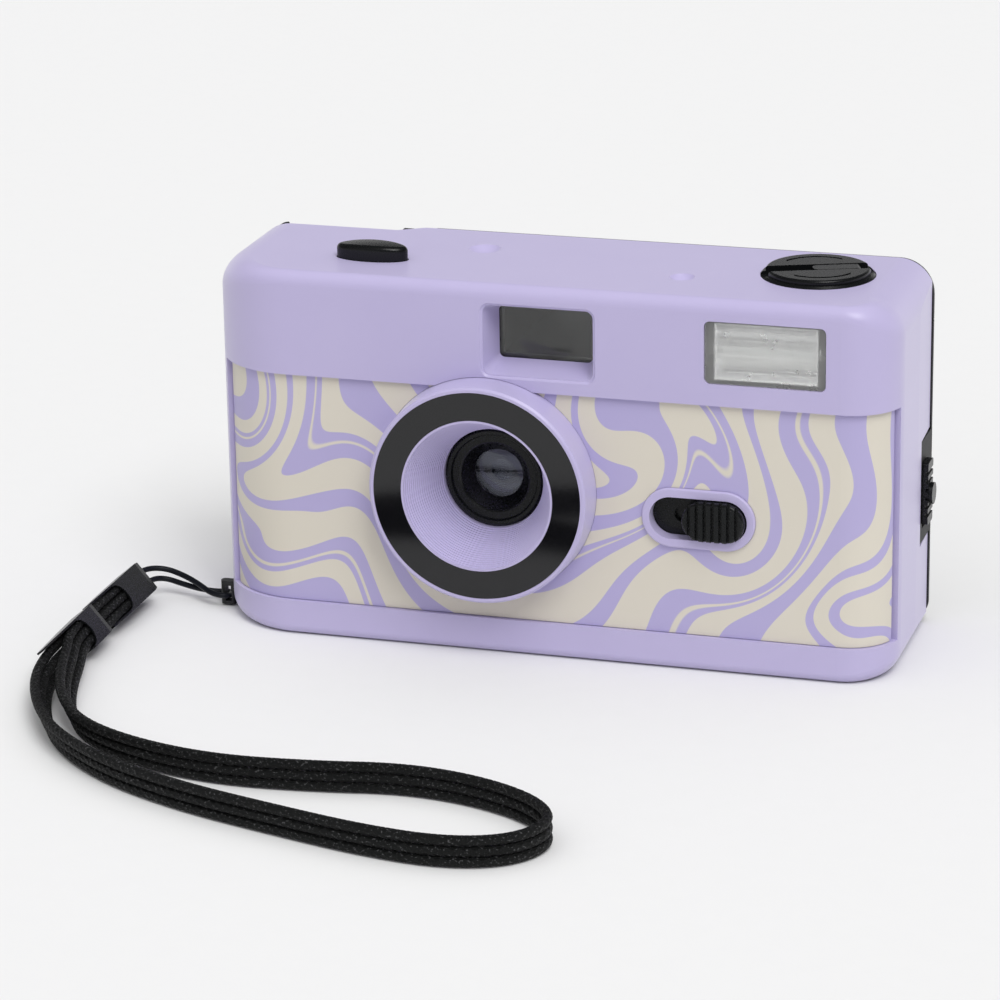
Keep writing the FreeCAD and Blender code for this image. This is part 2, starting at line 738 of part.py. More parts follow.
def make_dark_box():
    """Black tapered box between the shutter and the film, with posts for the shutter plate."""
    back = film_y - gate_t - seat_gap
    half = shutter_half - 0.2
    gw, gh = gate_w / 2, gate_h / 2
    front = box_front + shell_t
    solids = [box(lens_x - half, lens_x + half, box_front, front, lens_z - half, lens_z + half)]
    solids.append(Part.makeLoft([rect_wire(lens_x - gate_front_w - 1, lens_x + gate_front_w + 1,
                                           lens_z - gate_front_h - 1, lens_z + gate_front_h + 1, front - 0.5),
                                 rect_wire(lens_x - gw - 1, lens_x + gw + 1,
                                           lens_z - gh - 1, lens_z + gh + 1, back)], True, True))
    for dx, dz in ((1, 1), (1, -1), (-1, -1)):
        solids.append(cyl_y(lens_x + dx * 10.4, lens_z + dz * 10.4, 1.0,
                            shutter_y + shutter_t + seat_gap, box_front + eps))
    hollow = [cyl_y(lens_x, lens_z, 6.0, box_front - 1, front + 1), dark_hollow(front, film_y + eps)]
    hollow.append(box(lever_x - lever_w - slide_gap, lever_x + slide_gap, box_front - 0.9,
                      box_front + 0.9, lever_z, deck_z))
    return fuse(solids).cut(Part.Compound(hollow))


def dark_hollow(front, back):
    """Tapered room for the light, from the shutter to the film."""
    gw, gh = gate_w / 2, gate_h / 2
    return Part.makeLoft([rect_wire(lens_x - gate_front_w, lens_x + gate_front_w,
                                    lens_z - gate_front_h, lens_z + gate_front_h, front),
                          rect_wire(lens_x - gw, lens_x + gw, lens_z - gh, lens_z + gh, back)], True, True)


def make_frame():
    """Both film housings with the gate plate, floor and deck, before they are parted."""
    z0, z1 = floor_z, deck_z
    cr, sr = cartridge_r + shell_t, spool_chamber_r + shell_t
    x_left, x_right = spool_x - sr, cartridge_x + cr
    left_x, right_x = spool_x + sr, cartridge_x - cr
    solids = [cyl_z(cartridge_x, cartridge_y, cr, z0, z1).common(box(0, body_w, 0, cartridge_y + 1, z0, z1)),
              box(right_x, x_right, cartridge_y, film_y, z0, z1),
              cyl_z(spool_x, spool_y, sr, z0, z1),
              box(x_left, left_x, spool_y, film_y, z0, z1),
              box(x_left, x_right, battery_y, film_y, z1 - deck_t, z1),
              box(x_left, x_right, battery_y, film_y, z0, film_box_z0),
              box(left_x - 1, right_x + 1, film_y - gate_t, film_y, z0, z1)]
    for z in (board_z0 + 2, board_z1 - 4):
        solids.append(box(board_x1 - 5.5, board_x1 - 2.5, board_y + board_t + seat_gap,
                          cartridge_y - 8, z, z + 2))
    for x, y in base_screws:
        solids.append(cyl_z(x, y, boss_r, wall + seat_gap, wall + 8))
    boss_y = cover_d - 4.2
    for x in rear_screws:
        solids.append(cyl_y(x, rear_screw_z, boss_r, boss_y, cover_d))
        solids.append(box(x - 0.6, x + 0.6, boss_y, film_y, z1 - eps, rear_screw_z))
    solids.append(cyl_z(cartridge_x, cartridge_y, 3.6, z1 - eps, z1 + 0.35))
    frame = fuse(solids)

    inside = funnel_inner[0] - tunnel_wall - slide_gap - 0.5, funnel_inner[1] + tunnel_wall + slide_gap + 0.5
    hollow = [cyl_z(cartridge_x, cartridge_y, cartridge_r, film_box_z0, film_box_z1),
              box(cartridge_x - cartridge_r, cartridge_x + cartridge_r, cartridge_y,
                  film_y + 1, film_box_z0, film_box_z1),
              cyl_z(spool_x, spool_y, spool_chamber_r, film_box_z0, film_box_z1),
              box(spool_x - spool_chamber_r, spool_x + spool_chamber_r, spool_y,
                  film_y + 1, film_box_z0, film_box_z1),
              dark_hollow(box_front + shell_t, film_y + eps),
              cyl_z(battery_x, battery_y, battery_r + battery_wall + seat_gap, 0, battery_top + 2 * battery_wall),
              box(inside[0], inside[1], 0, film_y + 1, film_box_z1 - 0.4, body_h),
              box(inside[0], inside[1], 0, cover_d / 2, funnel_inner[2] - 2, body_h)]
    hollow.append(cyl_z(spool_x, spool_y, spool_shaft_r + shaft_gap, z1 - deck_t - 1, z1 + 1))
    hollow.append(cyl_z(spool_x, spool_y, 1.2 + shaft_gap, z0 - 1, film_box_z0 + 1))
    hollow.append(cyl_z(cartridge_x, cartridge_y, fork_r + shaft_gap, z1 - deck_t - 1, z1 + 1))
    hollow.append(cyl_z(sprocket_x, sprocket_y, sprocket_tip_r + slide_gap,
                        sprocket_z0 - slide_gap, sprocket_z0 + sprocket_t + slide_gap))
    hollow.append(cyl_z(sprocket_x, sprocket_y, sprocket_shaft_r + shaft_gap, z0, z1 + 1))
    hollow.append(cyl_z(sprocket_x, sprocket_y, release_flange_r + slide_gap, z0 - 1, film_box_z0 + 0.9))
    hollow.append(box(lever_x - lever_w - slide_gap, lever_x + slide_gap, box_front - 0.9,
                      box_front + 0.9, lever_z, z1 + 1))
    for x, y in base_screws:
        hollow.append(cyl_z(x, y, screw_r - 0.1, 0, wall + 7))
    for x in rear_screws:
        hollow.append(cyl_y(x, rear_screw_z, screw_r - 0.1, boss_y + 0.6, cover_d + 1))
    return frame.cut(Part.Compound(hollow)).common(body_block(wall + part_gap, cover_d))


def make_takeup_housing():
    """Left-hand film housing, with the knuckle of the door and the thumbwheel's pin."""
    frame = make_frame().common(box(-body_w, seam_x()[0], 0, body_d, 0, body_h))
    frame = frame.cut(box(-body_w, -body_w / 2 + wall + 1.85, lug_y0 - 1, lug_y1 + 1, 0, lug_z1 + 1))
    x_left = spool_x - spool_chamber_r - shell_t
    low, high = knuckle_z[1] + slide_gap, knuckle_z[2] - slide_gap
    knuckle = cyl_z(hinge_x, hinge_y, hinge_r, low, high)
    arm = box(x_left, x_left + shell_t, film_y - 2, hinge_y, low, high)
    pin = cyl_z(spool_x, thumb_y, 1.4, deck_z - deck_t, top_wall_z - seat_gap)
    frame = frame.multiFuse([knuckle, arm, pin])
    return frame.cut(cyl_z(hinge_x, hinge_y, pin_r + shaft_gap, 0, body_h)).removeSplitter()


def make_cartridge_housing():
    """Right-hand film housing, with the collar of the rewind shaft and the lugs of the flash board."""
    return make_frame().common(box(seam_x()[1], body_w, 0, body_d, 0, body_h)).removeSplitter()


def make_chassis():
    """Film gate, deck and floor between the two film housings."""
    left, right = seam_x()
    frame = make_frame().common(box(left + seat_gap, right - seat_gap, 0, body_d, 0, body_h))
    low = film_box_z0 + 0.9
    bearing = box(sprocket_x - 2.2, sprocket_x + 3, sprocket_y - 1, film_y - 1, low, low + 1)
    pin = cyl_z(counter_x, counter_y, 1.0, deck_z - deck_t, gear_z + counter_t + 0.4)
    return frame.multiFuse([bearing, pin]).removeSplitter()


def make_battery_tube():
    """Tube for the battery, with a foot that carries the pin of the battery door."""
    outer = battery_r + battery_wall
    tube = cyl_z(battery_x, battery_y, outer, wall + part_gap, battery_top + battery_wall)
    tie = box(battery_x - 2, battery_x + 2, battery_y + 3, battery_y + 5.4, battery_top - 2,
              film_box_z1 - seat_gap)
    foot = box(battery_x - 2.3, battery_x + 2.3, battery_y + outer - 0.4, battery_hinge_y + battery_hinge_r,
               wall + part_gap + 0.1, floor_z - seat_gap)
    block = box(battery_x - 2.3, battery_x + 2.3, battery_hinge_y - 0.6, battery_hinge_y + 0.9,
                battery_hinge_z - 0.55, floor_z - seat_gap)
    half = battery_door_w / 2
    pin = cyl_x(battery_hinge_y, battery_hinge_z, battery_pin_r, battery_x - half + 0.1,
                battery_x + half - 0.1)
    whole = fuse([tube, tie, foot, block, pin])
    return whole.cut(cyl_z(battery_x, battery_y, battery_r, 0, battery_top))


def make_takeup_spool():
    """Spool that winds the film, with its gear above the deck."""
    core = cyl_z(spool_x, spool_y, spool_r, film_box_z0 + slide_gap, film_box_z1 - slide_gap)
    mid = 0.5 * (film_box_z0 + film_box_z1)
    slot = box(spool_x - 0.6, spool_x + 0.6, spool_y - 6, spool_y + 6, mid - spool_slot / 2, mid + spool_slot / 2)
    core = core.cut(slot)
    shaft = cyl_z(spool_x, spool_y, spool_shaft_r, film_box_z1 - slide_gap - 1, gear_z + eps)
    foot = cyl_z(spool_x, spool_y, 1.2, floor_z + 0.2, film_box_z0 + slide_gap + 1)
    wheel = gear(spool_x, spool_y, gear_z, gear_z + gear_t, gear_teeth, gear_module, 90)
    return fuse([core, shaft, foot, wheel])


def make_thumbwheel():
    """Ribbed wheel that the thumb turns, with its pinion below."""
    y = thumb_y
    z0 = gear_z + gear_t + 0.3
    rim = cyl_z(spool_x, y, thumb_r - 0.35, z0, z0 + thumb_t)
    ribs = []
    for k in range(thumb_ribs):
        turn = 2 * math.pi * k / thumb_ribs
        ribs.append(cyl_z(spool_x + (thumb_r - 0.35) * math.cos(turn),
                          y + (thumb_r - 0.35) * math.sin(turn), 0.35, z0, z0 + thumb_t))
    step = 180.0 / gear_teeth
    pinion = gear(spool_x, y, gear_z, z0 + eps, gear_teeth, gear_module, 270 + step)
    wheel = rim.multiFuse(ribs + [pinion])
    wheel = wheel.cut(cyl_z(spool_x, y, thumb_r - 2.4, z0 + thumb_t - 0.7, z0 + thumb_t + 1))
    return wheel.cut(cyl_z(spool_x, y, 1.4 + shaft_gap, 0, body_h)).removeSplitter()


def make_sprocket_wheel():
    """Toothed wheel that the film turns, on its shaft with the counter's finger."""
    z0, z1 = sprocket_z0, sprocket_z0 + sprocket_t
    drum = cyl_z(sprocket_x, sprocket_y, sprocket_root_r, z0, z1)
    shapes = [drum]
    for k in range(sprocket_teeth):
        tooth = box(sprocket_root_r - 0.5, sprocket_tip_r, -0.6, 0.6, z0 + 0.7, z1 - 0.7)
        tooth.rotate(Vector(0, 0, 0), Vector(0, 0, 1), 360.0 * (k + 0.5) / sprocket_teeth)
        tooth.translate(Vector(sprocket_x, sprocket_y, 0))
        shapes.append(tooth)
    shapes.append(cyl_z(sprocket_x, sprocket_y, sprocket_shaft_r, 6.3, gear_z + 0.6))
    shapes.append(cyl_z(sprocket_x, sprocket_y, 1.6, gear_z, gear_z + 1.0))
    shapes.append(box(sprocket_x - counter_finger_r, sprocket_x, sprocket_y - 0.4, sprocket_y + 0.4,
                      gear_z, gear_z + 1.0))
    return fuse(shapes)


def make_frame_counter():
    """Drum that shows the number of the frame through the rear window."""
    drum = cyl_z(counter_x, counter_y, counter_r, gear_z + 1.3, gear_z + 1.3 + counter_t)
    hub = cyl_z(counter_x, counter_y, 2.2, gear_z, gear_z + 1.4)
    drum = fuse([drum, hub])
    return drum.cut(cyl_z(counter_x, counter_y, 1.0 + shaft_gap, 0, body_h))


def tunnel_end(grow, y):
    """Rectangle of the viewfinder tunnel at its back end."""
    return rect_wire(eye_x - eye_w / 2 - grow, eye_x + eye_w / 2 + grow,
                     eye_z - eye_h / 2 - grow, eye_z + eye_h / 2 + grow, y)


def make_viewfinder_tunnel():
    """Black tapered tunnel from the front window to the eyepiece."""
    fi = funnel_inner
    t = tunnel_wall
    y0, y1 = funnel_d + seat_gap, cover_d - 0.2
    yw = y0 + window_t + fit_gap
    grow = 0.5
    outer = Part.makeLoft([rect_wire(fi[0] - t - grow, fi[1] + t + grow, fi[2] - t - grow, fi[3] + t, yw),
                           tunnel_end(t, y1)], True, True)
    frame = box(fi[0] - t - grow, fi[1] + t + grow, y0, yw + eps, fi[2] - t - grow, fi[3] + t)
    hole = Part.makeLoft([rect_wire(fi[0] + 0.6, fi[1] - 0.6, fi[2] + 0.6, fi[3] - 0.6, yw - eps),
                          tunnel_end(0, y1 + eps)], True, True)
    seat = box(fi[0] - grow, fi[1] + grow, y0 - 1, yw, fi[2] - grow, fi[3] + 0.3)
    pocket = tunnel_pocket(fit_gap / 2)
    return fuse([outer, frame]).cut(hole).cut(seat).cut(pocket)


def tunnel_pocket(grow):
    """Room for the eyepiece in the back end of the tunnel."""
    return box(eye_x - eye_w / 2 - grow, eye_x + eye_w / 2 + grow, cover_d - 1.4,
               cover_d + eye_t, eye_z - eye_h / 2 - grow, eye_z + eye_h / 2 + grow)


def make_viewfinder_window():
    """Clear pane at the front of the viewfinder."""
    fi = funnel_inner
    y0 = funnel_d + seat_gap + fit_gap
    pane = box(fi[0] - 0.4, fi[1] + 0.4, y0, y0 + window_t - fit_gap, fi[2] - 0.4, fi[3] + 0.2)
    bowl = Part.makeSphere(40.0, Vector(eye_x, y0 + window_t + 39.6, 0.5 * (fi[2] + fi[3])))
    return pane.cut(bowl)


def make_viewfinder_eyepiece():
    """Clear block that the eye looks into."""
    block = tunnel_pocket(-seat_gap)
    return block.common(box(-20, 20, cover_d - 1.4 + seat_gap, cover_d + eye_t, 0, body_h))


def make_flash_window():
    """Clear cap over the flash, with fine ribs inside."""
    g = fit_gap
    cap = soft_box(flash_x0 + g, flash_x1 - g, flash_sink, wall + 0.1, flash_z0 + g, flash_z1 - g,
                   flash_corner_r - g, "y")
    flange = box(flash_x0 - flash_flange, flash_x1 + flash_flange, wall + seat_gap,
                 wall + seat_gap + flash_flange_t,
                 flash_z0 - flash_flange, flash_z1 + flash_flange)
    x0, x1 = reflector_x0 - 0.2, reflector_x1 + 0.2
    z0, z1 = flash_z0 + reflector_low - 0.2, flash_z1 - reflector_high + 0.15
    y0 = flash_sink + flash_pane_t
    pocket = box(x0, x1, y0, wall + 2, z0, z1)
    shapes = [fuse([cap, flange]).cut(pocket)]
    pitch = (z1 - z0) / flash_ribs
    for k in range(flash_ribs):
        rib = cyl_x(y0 - 0.1, z0 + pitch * (k + 0.5), pitch * 0.42, x0 - eps, x1 + eps)
        shapes.append(rib.common(box(x0 - 1, x1 + 1, y0 - 0.2, y0 + 0.35, z0, z1)))
    return fuse(shapes)


def make_flash_reflector():
    """Bright trough behind the flash tube."""
    z0, z1 = flash_z0 + reflector_low, flash_z1 - reflector_high
    mid = 0.5 * (z0 + z1)
    y0 = flash_sink + flash_pane_t + 0.5

    def trough(grow):
        top = Vector(0, y0, z1 - grow)
        deep = Vector(0, reflector_back - grow, mid)
        low = Vector(0, y0, z0 + grow)
        wire = Part.Wire([Part.Arc(top, deep, low).toShape(), Part.makeLine(low, top)])
        return Part.Face(wire)

    outer = trough(0).extrude(Vector(reflector_x1 - reflector_x0, 0, 0))
    outer.translate(Vector(reflector_x0, 0, 0))
    inner = trough(reflector_t).extrude(Vector(reflector_x1 - reflector_x0 - 2 * reflector_t, 0, 0))
    inner.translate(Vector(reflector_x0 + reflector_t, -eps, 0))
    shell = outer.cut(inner)
    return shell.cut(cyl_x(tube_y(), mid, tube_r + seat_gap, reflector_x0 - 2, reflector_x1 + 2))


def tube_y():
    """Depth of the flash tube's axis."""
    return reflector_back - reflector_t - tube_r - 0.25


def make_flash_tube():
    """Glass tube with its two end caps."""
    mid = 0.5 * (flash_z0 + reflector_low + flash_z1 - reflector_high)
    glass = cyl_x(tube_y(), mid, tube_r, reflector_x0 - 1.0, reflector_x1 + 1.0)
    return glass


def make_flash_board():
    """Circuit board of the flash."""
    board = box(board_x0, board_x1, board_y, board_y + board_t, board_z0, board_z1)
    parts = [board]
    for dx, dz, w, h, t in board_parts:
        x, z = board_x0 + dx, board_z0 + dz
        parts.append(box(x, x + w, board_y + board_t - eps, board_y + board_t + t, z, z + h))
    return fuse(parts)


def make_flash_capacitor():
    """Storage capacitor, standing behind the board."""
    z0 = board_z0 + 1.0
    y = board_y + board_t + seat_gap + capacitor_r
    can = cyl_z(capacitor_x, y, capacitor_r, z0, z0 + capacitor_h)
    rims = [e for e in can.Edges if e.Length > 1 and len(e.Vertexes) == 1]
    can = can.makeFillet(0.5, rims)
    return can.cut(box(capacitor_x - 3, capacitor_x + 3, y - 0.2, y + 0.2,
                       z0 + capacitor_h - 0.3, z0 + capacitor_h + 1))


def make_ready_lamp():
    """Small lamp in the rear cover that lights when the flash is ready."""
    y0 = body_d - rear_wall - lamp_flange_t
    stem = cyl_y(lamp_x, rear_screw_z, lamp_r, y0, body_d - 0.2)
    flange = cyl_y(lamp_x, rear_screw_z, lamp_r + 0.7, y0, body_d - rear_wall - seat_gap)
    dome = Part.makeSphere(lamp_r, Vector(lamp_x, body_d - 0.2, rear_screw_z))
    dome = dome.common(cyl_y(lamp_x, rear_screw_z, lamp_r, body_d - 0.3, body_d + 0.5))
    return fuse([stem, flange, dome])


def edges_at_y(shape, y):
    """Edges that lie in a plane square to Y."""
    return [e for e in shape.Edges if all(abs(v.Point.y - y) < eps for v in e.Vertexes)]


def round_edges_at_z(shape, z):
    """Whole circles that lie at one height."""
    return [e for e in shape.Edges if len(e.Vertexes) == 1 and abs(e.Vertexes[0].Point.z - z) < eps]


def make_switch_bezel():
    """Lilac oval rim of the flash switch."""
    y0 = print_sink - bezel_proud
    rim = oval_y(switch_x, switch_z, bezel_w, bezel_h, y0, print_floor - seat_gap)
    rim = rim.makeFillet(0.3, edges_at_y(rim, y0))
    neck = oval_y(switch_x, switch_z, slot_w + 1.2, slot_h + 1.7, print_floor - 0.2, bezel_d)
    hole = oval_y(switch_x, switch_z, slot_w, slot_h, y0 - 1, bezel_d + 1)
    return fuse([rim, neck]).cut(hole)


def make_switch_plate():
    """Black slotted plate on the floor of the switch."""
    y1 = bezel_d
    plate = oval_y(switch_x, switch_z, slot_w - fit_gap, slot_h - fit_gap, y1 - 0.7, y1)
    slot = oval_y(switch_x, switch_z, switch_neck + switch_travel() + 0.6, 2.6, y1 - 1, y1 + 1)
    return plate.cut(slot)


def switch_travel():
    """How far the knob of the flash switch slides."""
    return slot_w - switch_head_w - 2 * switch_gap


def make_switch_knob():
    """Black ribbed knob of the flash switch, at its right-hand stop."""
    x = switch_x + switch_travel() / 2
    y0, y1 = -switch_proud + print_sink, bezel_d - 0.7 - fit_gap
    head = oval_y(x, switch_z, switch_head_w, switch_head_h, y0, y1)
    head = head.makeFillet(0.5, edges_at_y(head, y0))
    pitch = switch_head_w / (switch_grooves + 1)
    cuts = []
    for k in range(switch_grooves):
        gx = x + pitch * (k - (switch_grooves - 1) / 2)
        cuts.append(box(gx - 0.28, gx + 0.28, y0 - 1, y0 + 0.8, switch_z - 5, switch_z + 5))
    head = head.cut(Part.Compound(cuts))
    neck = oval_y(x, switch_z, switch_neck, 2.2, y1 - eps, bezel_d + 0.4)
    half = switch_foot_w / 2
    foot = box(x - half, x + half, bezel_d + 0.15, board_y - 0.9, switch_z - 2.2, switch_z + 2.2)
    return fuse([head, neck, foot])


def make_shutter_button():
    """Domed button with a flange below the top wall."""
    z1 = body_h + button_proud
    z0 = top_wall_z - part_gap - 1.0
    ball = (button_a ** 2 + button_crown ** 2) / (2 * button_crown)
    crown = Part.makeSphere(ball, Vector(button_x, button_y, z1 - ball))
    dome = oval_z(button_x, button_y, button_a, button_b, z0, z1 + 1).common(crown)
    dome = dome.makeFillet(button_edge_r, [e for e in dome.Edges if e.BoundBox.ZMin > z1 - 2 * button_crown])
    flange = oval_z(button_x, button_y, button_a + button_flange, button_b + button_flange,
                    z0, top_wall_z - part_gap)
    return fuse([dome, flange])


def lever_top():
    """Height of the release lever's upper face."""
    return top_wall_z - part_gap - 1.0 - 0.3


def make_release_lever():
    """Lever under the button that reaches down to the blade's tail."""
    z1 = lever_top()
    arm = box(button_x - 2 * lever_w, lever_x, button_y - 1.0, lever_y + 1.0, z1 - lever_t, z1)
    post = cyl_z(button_x, button_y, 1.5, z1 - eps, z1 + 0.3)
    leg = box(lever_x - lever_w, lever_x, lever_y - 0.6, lever_y + 0.6, lever_z, z1)
    return fuse([arm, post, leg])


def knob_z():
    """Bottom of the rewind knob, top of its lip, floor of its slot and its upper face."""
    low = body_h - knob_well + part_gap
    return low, body_h + knob_lip, low + knob_floor_t, body_h + knob_rise


def turn_knob(shape):
    """Turn a piece of the rewind knob about the knob's axis."""
    turned = shape.copy()
    turned.rotate(Vector(cartridge_x, cartridge_y, 0), Vector(0, 0, 1), knob_turn)
    return turned


def make_rewind_knob():
    """Round knob with two raised half-moon lands, a slot for the crank and two studs that carry it."""
    z0, z1, z_floor, z2 = knob_z()
    base = cyl_z(cartridge_x, cartridge_y, knob_r, z0, z1)
    base = base.makeChamfer(0.3, round_edges_at_z(base, z1))
    land = cyl_z(cartridge_x, cartridge_y, knob_land_r, z1 - eps, z2)
    land = land.makeFillet(0.45, round_edges_at_z(land, z2))
    half = knob_slot_w / 2
    reach = 2 * knob_r
    slot = box(cartridge_x - reach, cartridge_x + reach, cartridge_y - half, cartridge_y + half, z_floor, z2 + 1)
    ring_out = cyl_z(cartridge_x, cartridge_y, 6.6, z2 - 0.3, z2 + 1)
    ring_in = cyl_z(cartridge_x, cartridge_y, 6.0, z2 - 0.4, z2 + 2)
    mask = box(cartridge_x - 4.5, cartridge_x + 4.5, cartridge_y - reach, cartridge_y + reach, z0, z2 + 3)
    bore = cyl_z(cartridge_x, cartridge_y, knob_shaft_r - 0.4, z0 - 1, z_floor - 0.15)
    knob = base.fuse(land).cut(Part.Compound([slot, ring_out.cut(ring_in).common(mask), bore]))
    between = crank_w / 2 - crank_stud
    studs = crank_axis(crank_pin_r, half + 0.5).cut(
        box(cartridge_x, cartridge_x + knob_r, cartridge_y - between, cartridge_y + between, z0, z2 + 3))
    return turn_knob(knob.fuse(studs).removeSplitter())


def crank_axis(r, reach):
    """Cylinder along the crank's hinge line."""
    z = knob_z()[2] + fit_gap + crank_t / 2
    return Part.makeCylinder(r, 2 * reach, Vector(cartridge_x + crank_pin_x, cartridge_y - reach, z),
                             Vector(0, 1, 0))


def make_rewind_crank():
    """Short crank folded into the knob's slot. The open end of the slot takes a fingernail."""
    z0 = knob_z()[2] + fit_gap
    x1 = cartridge_x + crank_pin_x
    x0 = x1 - crank_len
    half = crank_w / 2
    bar = soft_box(x0, x1 + 3, cartridge_y - half, cartridge_y + half, z0, z0 + crank_t, 1.0, "z")
    bar = bar.common(box(x0, x1, 0, body_w, z0, z0 + crank_t)).fuse(crank_axis(crank_t / 2, half))
    return turn_knob(bar.cut(crank_axis(crank_pin_r + shaft_gap, half + 1)).removeSplitter())


def make_rewind_shaft():
    """Shaft below the knob, with the fork that turns the cartridge."""
    z_knob, _, z_floor, _ = knob_z()
    shaft = cyl_z(cartridge_x, cartridge_y, knob_shaft_r, fork_z0 + 2.5, z_knob - seat_gap)
    stub = cyl_z(cartridge_x, cartridge_y, knob_shaft_r - 0.45, z_knob - 1, z_floor - 0.2)
    fork = cyl_z(cartridge_x, cartridge_y, fork_r, fork_z0, film_box_z1 + deck_t)
    fork = fork.cut(box(cartridge_x - 1.0, cartridge_x + 1.0, cartridge_y - 5, cartridge_y + 5,
                        fork_z0 - 1, fork_z0 + 2.4))
    return fuse([shaft, stub, fork])


def make_rewind_clip():
    """Clip on the shaft that stops it from being pulled out."""
    z0 = deck_z + 0.4
    ring = cyl_z(cartridge_x, cartridge_y, clip_r, z0, z0 + clip_t)
    ring = ring.cut(cyl_z(cartridge_x, cartridge_y, knob_shaft_r + seat_gap / 2, z0 - 1, z0 + 2))
    return ring.cut(box(cartridge_x - 0.8, cartridge_x + 0.8, cartridge_y + 1.0, cartridge_y + 5,
                        z0 - 1, z0 + 2))


def back_slab(z0, z1, inset):
    """Part of the black back between two heights, drawn in by the inset."""
    x0, x1 = -body_w / 2 + part_gap + inset, body_w / 2 - part_gap - inset
    return box(x0, x1, cover_d + seat_gap, body_d - (rear_wall if inset > 1 else 0), z0, z1)


def round_back(slab, z_edge, side_r):
    """Round the corners of a back piece seen from behind, then its outer rim."""
    corner = []
    for edge in slab.Edges:
        ends = [v.Point for v in edge.Vertexes]
        way = ends[0] - ends[-1]
        if abs(way.y) > 0.5 and abs(way.x) < eps and abs(ends[0].z - z_edge) < eps:
            corner.append(edge)
    slab = slab.makeFillet(side_r, corner)
    rim = []
    for edge in slab.Edges:
        bounds = edge.BoundBox
        if bounds.YMin > body_d - eps:
            level = bounds.ZMax - bounds.ZMin < eps
            if not (level and abs(bounds.ZMin - rear_split_z) < 0.5):
                rim.append(edge)
    return slab.makeFillet(rear_edge_r, rim)


def make_rear_cover():
    """Black strip above the back door, round the eyepiece and the thumbwheel."""
    z0, z1 = rear_split_z + 0.15, body_h - part_gap
    outer = round_back(back_slab(z0, z1, 0), z1, top_side_r - part_gap)
    hollow = box(-body_w / 2 + 2, body_w / 2 - 2, cover_d, body_d - rear_wall, z0 + 1.6, z1 - 2)
    hollow = hollow.makeFillet(4.0, [e for e in hollow.Edges if abs(e.tangentAt(e.FirstParameter).y) > 0.9
                                     and e.Vertexes[0].Point.z > z1 - 3])
    strip = outer.cut(hollow)
    cuts = [box(eye_x - eye_w / 2 - fit_gap, eye_x + eye_w / 2 + fit_gap, cover_d - 1, body_d + 1,
                eye_z - eye_h / 2 - fit_gap, eye_z + eye_h / 2 + fit_gap)]
    cuts.append(cyl_y(lamp_x, rear_screw_z, lamp_r + fit_gap, cover_d - 1, body_d + 1))
    cuts.append(box(counter_x - 2.2, counter_x + 2.2, cover_d - 1, body_d + 1,
                    gear_z + 1.6, gear_z + 1.3 + counter_t - 0.6))
    z_wheel = gear_z + gear_t
    cuts.append(box(spool_x - thumb_r - 0.6, spool_x + thumb_r + 0.6, cover_d - 1, body_d + 2,
                    z_wheel - 0.2, body_h + 1))
    cuts.append(box(-body_w / 2 - 1, thumb_x2, cover_d - 1, body_d + 2, body_h - cover_drop, body_h + 1))
    cuts.append(cyl_z(spool_x, thumb_y, thumb_r + slide_gap, z_wheel - 0.2, body_h))
    for x in rear_screws:
        cuts.append(cyl_y(x, rear_screw_z, screw_r + fit_gap, cover_d - 1, body_d + 1))
        cuts.append(cyl_y(x, rear_screw_z, screw_head_r + fit_gap, body_d - screw_head_t + 0.2, body_d + 1))
    collars = [cyl_y(x, rear_screw_z, boss_r, cover_d + seat_gap, body_d - rear_wall + 0.1)
               for x in rear_screws]
    return strip.multiFuse(collars).cut(Part.Compound(cuts)).removeSplitter()


def make_back_door():
    """Hinged back door with knuckles on the left and a latch tab on the right."""
    z0, z1 = part_gap, rear_split_z - 0.15
    outer = round_back(back_slab(z0, z1, 0), z0, foot_side_r - part_gap)
    hollow = box(-body_w / 2 + 5.5, body_w / 2 - 3.5, cover_d, body_d - rear_wall, z0 + 2, z1 - 1.6)
    door = outer.cut(hollow)
    ribs = [box(x, x + 1.0, cover_d + 0.2, body_d - rear_wall + 0.1, z0 + 1, z1 - 1)
            for x in (-34.5, 29.0)]
    tab = box(body_w / 2 - part_gap - tab_t, body_w / 2 - part_gap, tab_y + slide_gap,
              cover_d + 1, tab_z0 + slide_gap, tab_z1 - slide_gap)
    low, lower, upper, high = z0 + foot_side_r, knuckle_z[1], knuckle_z[2], z1
    knuckles = [cyl_z(hinge_x, hinge_y, hinge_r, za, zb) for za, zb in ((low, lower), (upper, high))]
    free_x = spool_x - spool_chamber_r + slide_gap
    free = box(-body_w / 2 - 1, free_x, cover_d - 1, body_d + 1, lower, upper)
    corner = box(-body_w / 2 - 1, hinge_x + hinge_r + slide_gap, cover_d - 1, hinge_y, 0, body_h)
    door = door.multiFuse(ribs + [tab]).cut(free).cut(corner)
    leaves = [box(hinge_x, free_x + 0.5, hinge_y - 0.8, body_d - rear_wall + 0.3, za, zb)
              for za, zb in ((low, lower), (upper, high))]
    door = door.multiFuse(knuckles + leaves)
    slot_y = 0.5 * (latch_y0 + latch_y1)
    slot = box(body_w / 2 - tab_t - 2, body_w / 2 + 1, slot_y - 1.1, slot_y + 1.1,
               latch_z0 + 2.2 - latch_travel, latch_z1 - 2.2)
    door = door.cut(slot)
    return door.cut(cyl_z(hinge_x, hinge_y, pin_r + shaft_gap, 0, body_h)).removeSplitter()


def make_hinge_pin():
    """Steel pin through all the knuckles of the back door."""
    return cyl_z(hinge_x, hinge_y, pin_r, knuckle_z[0] + 0.1, knuckle_z[3] - 0.1)


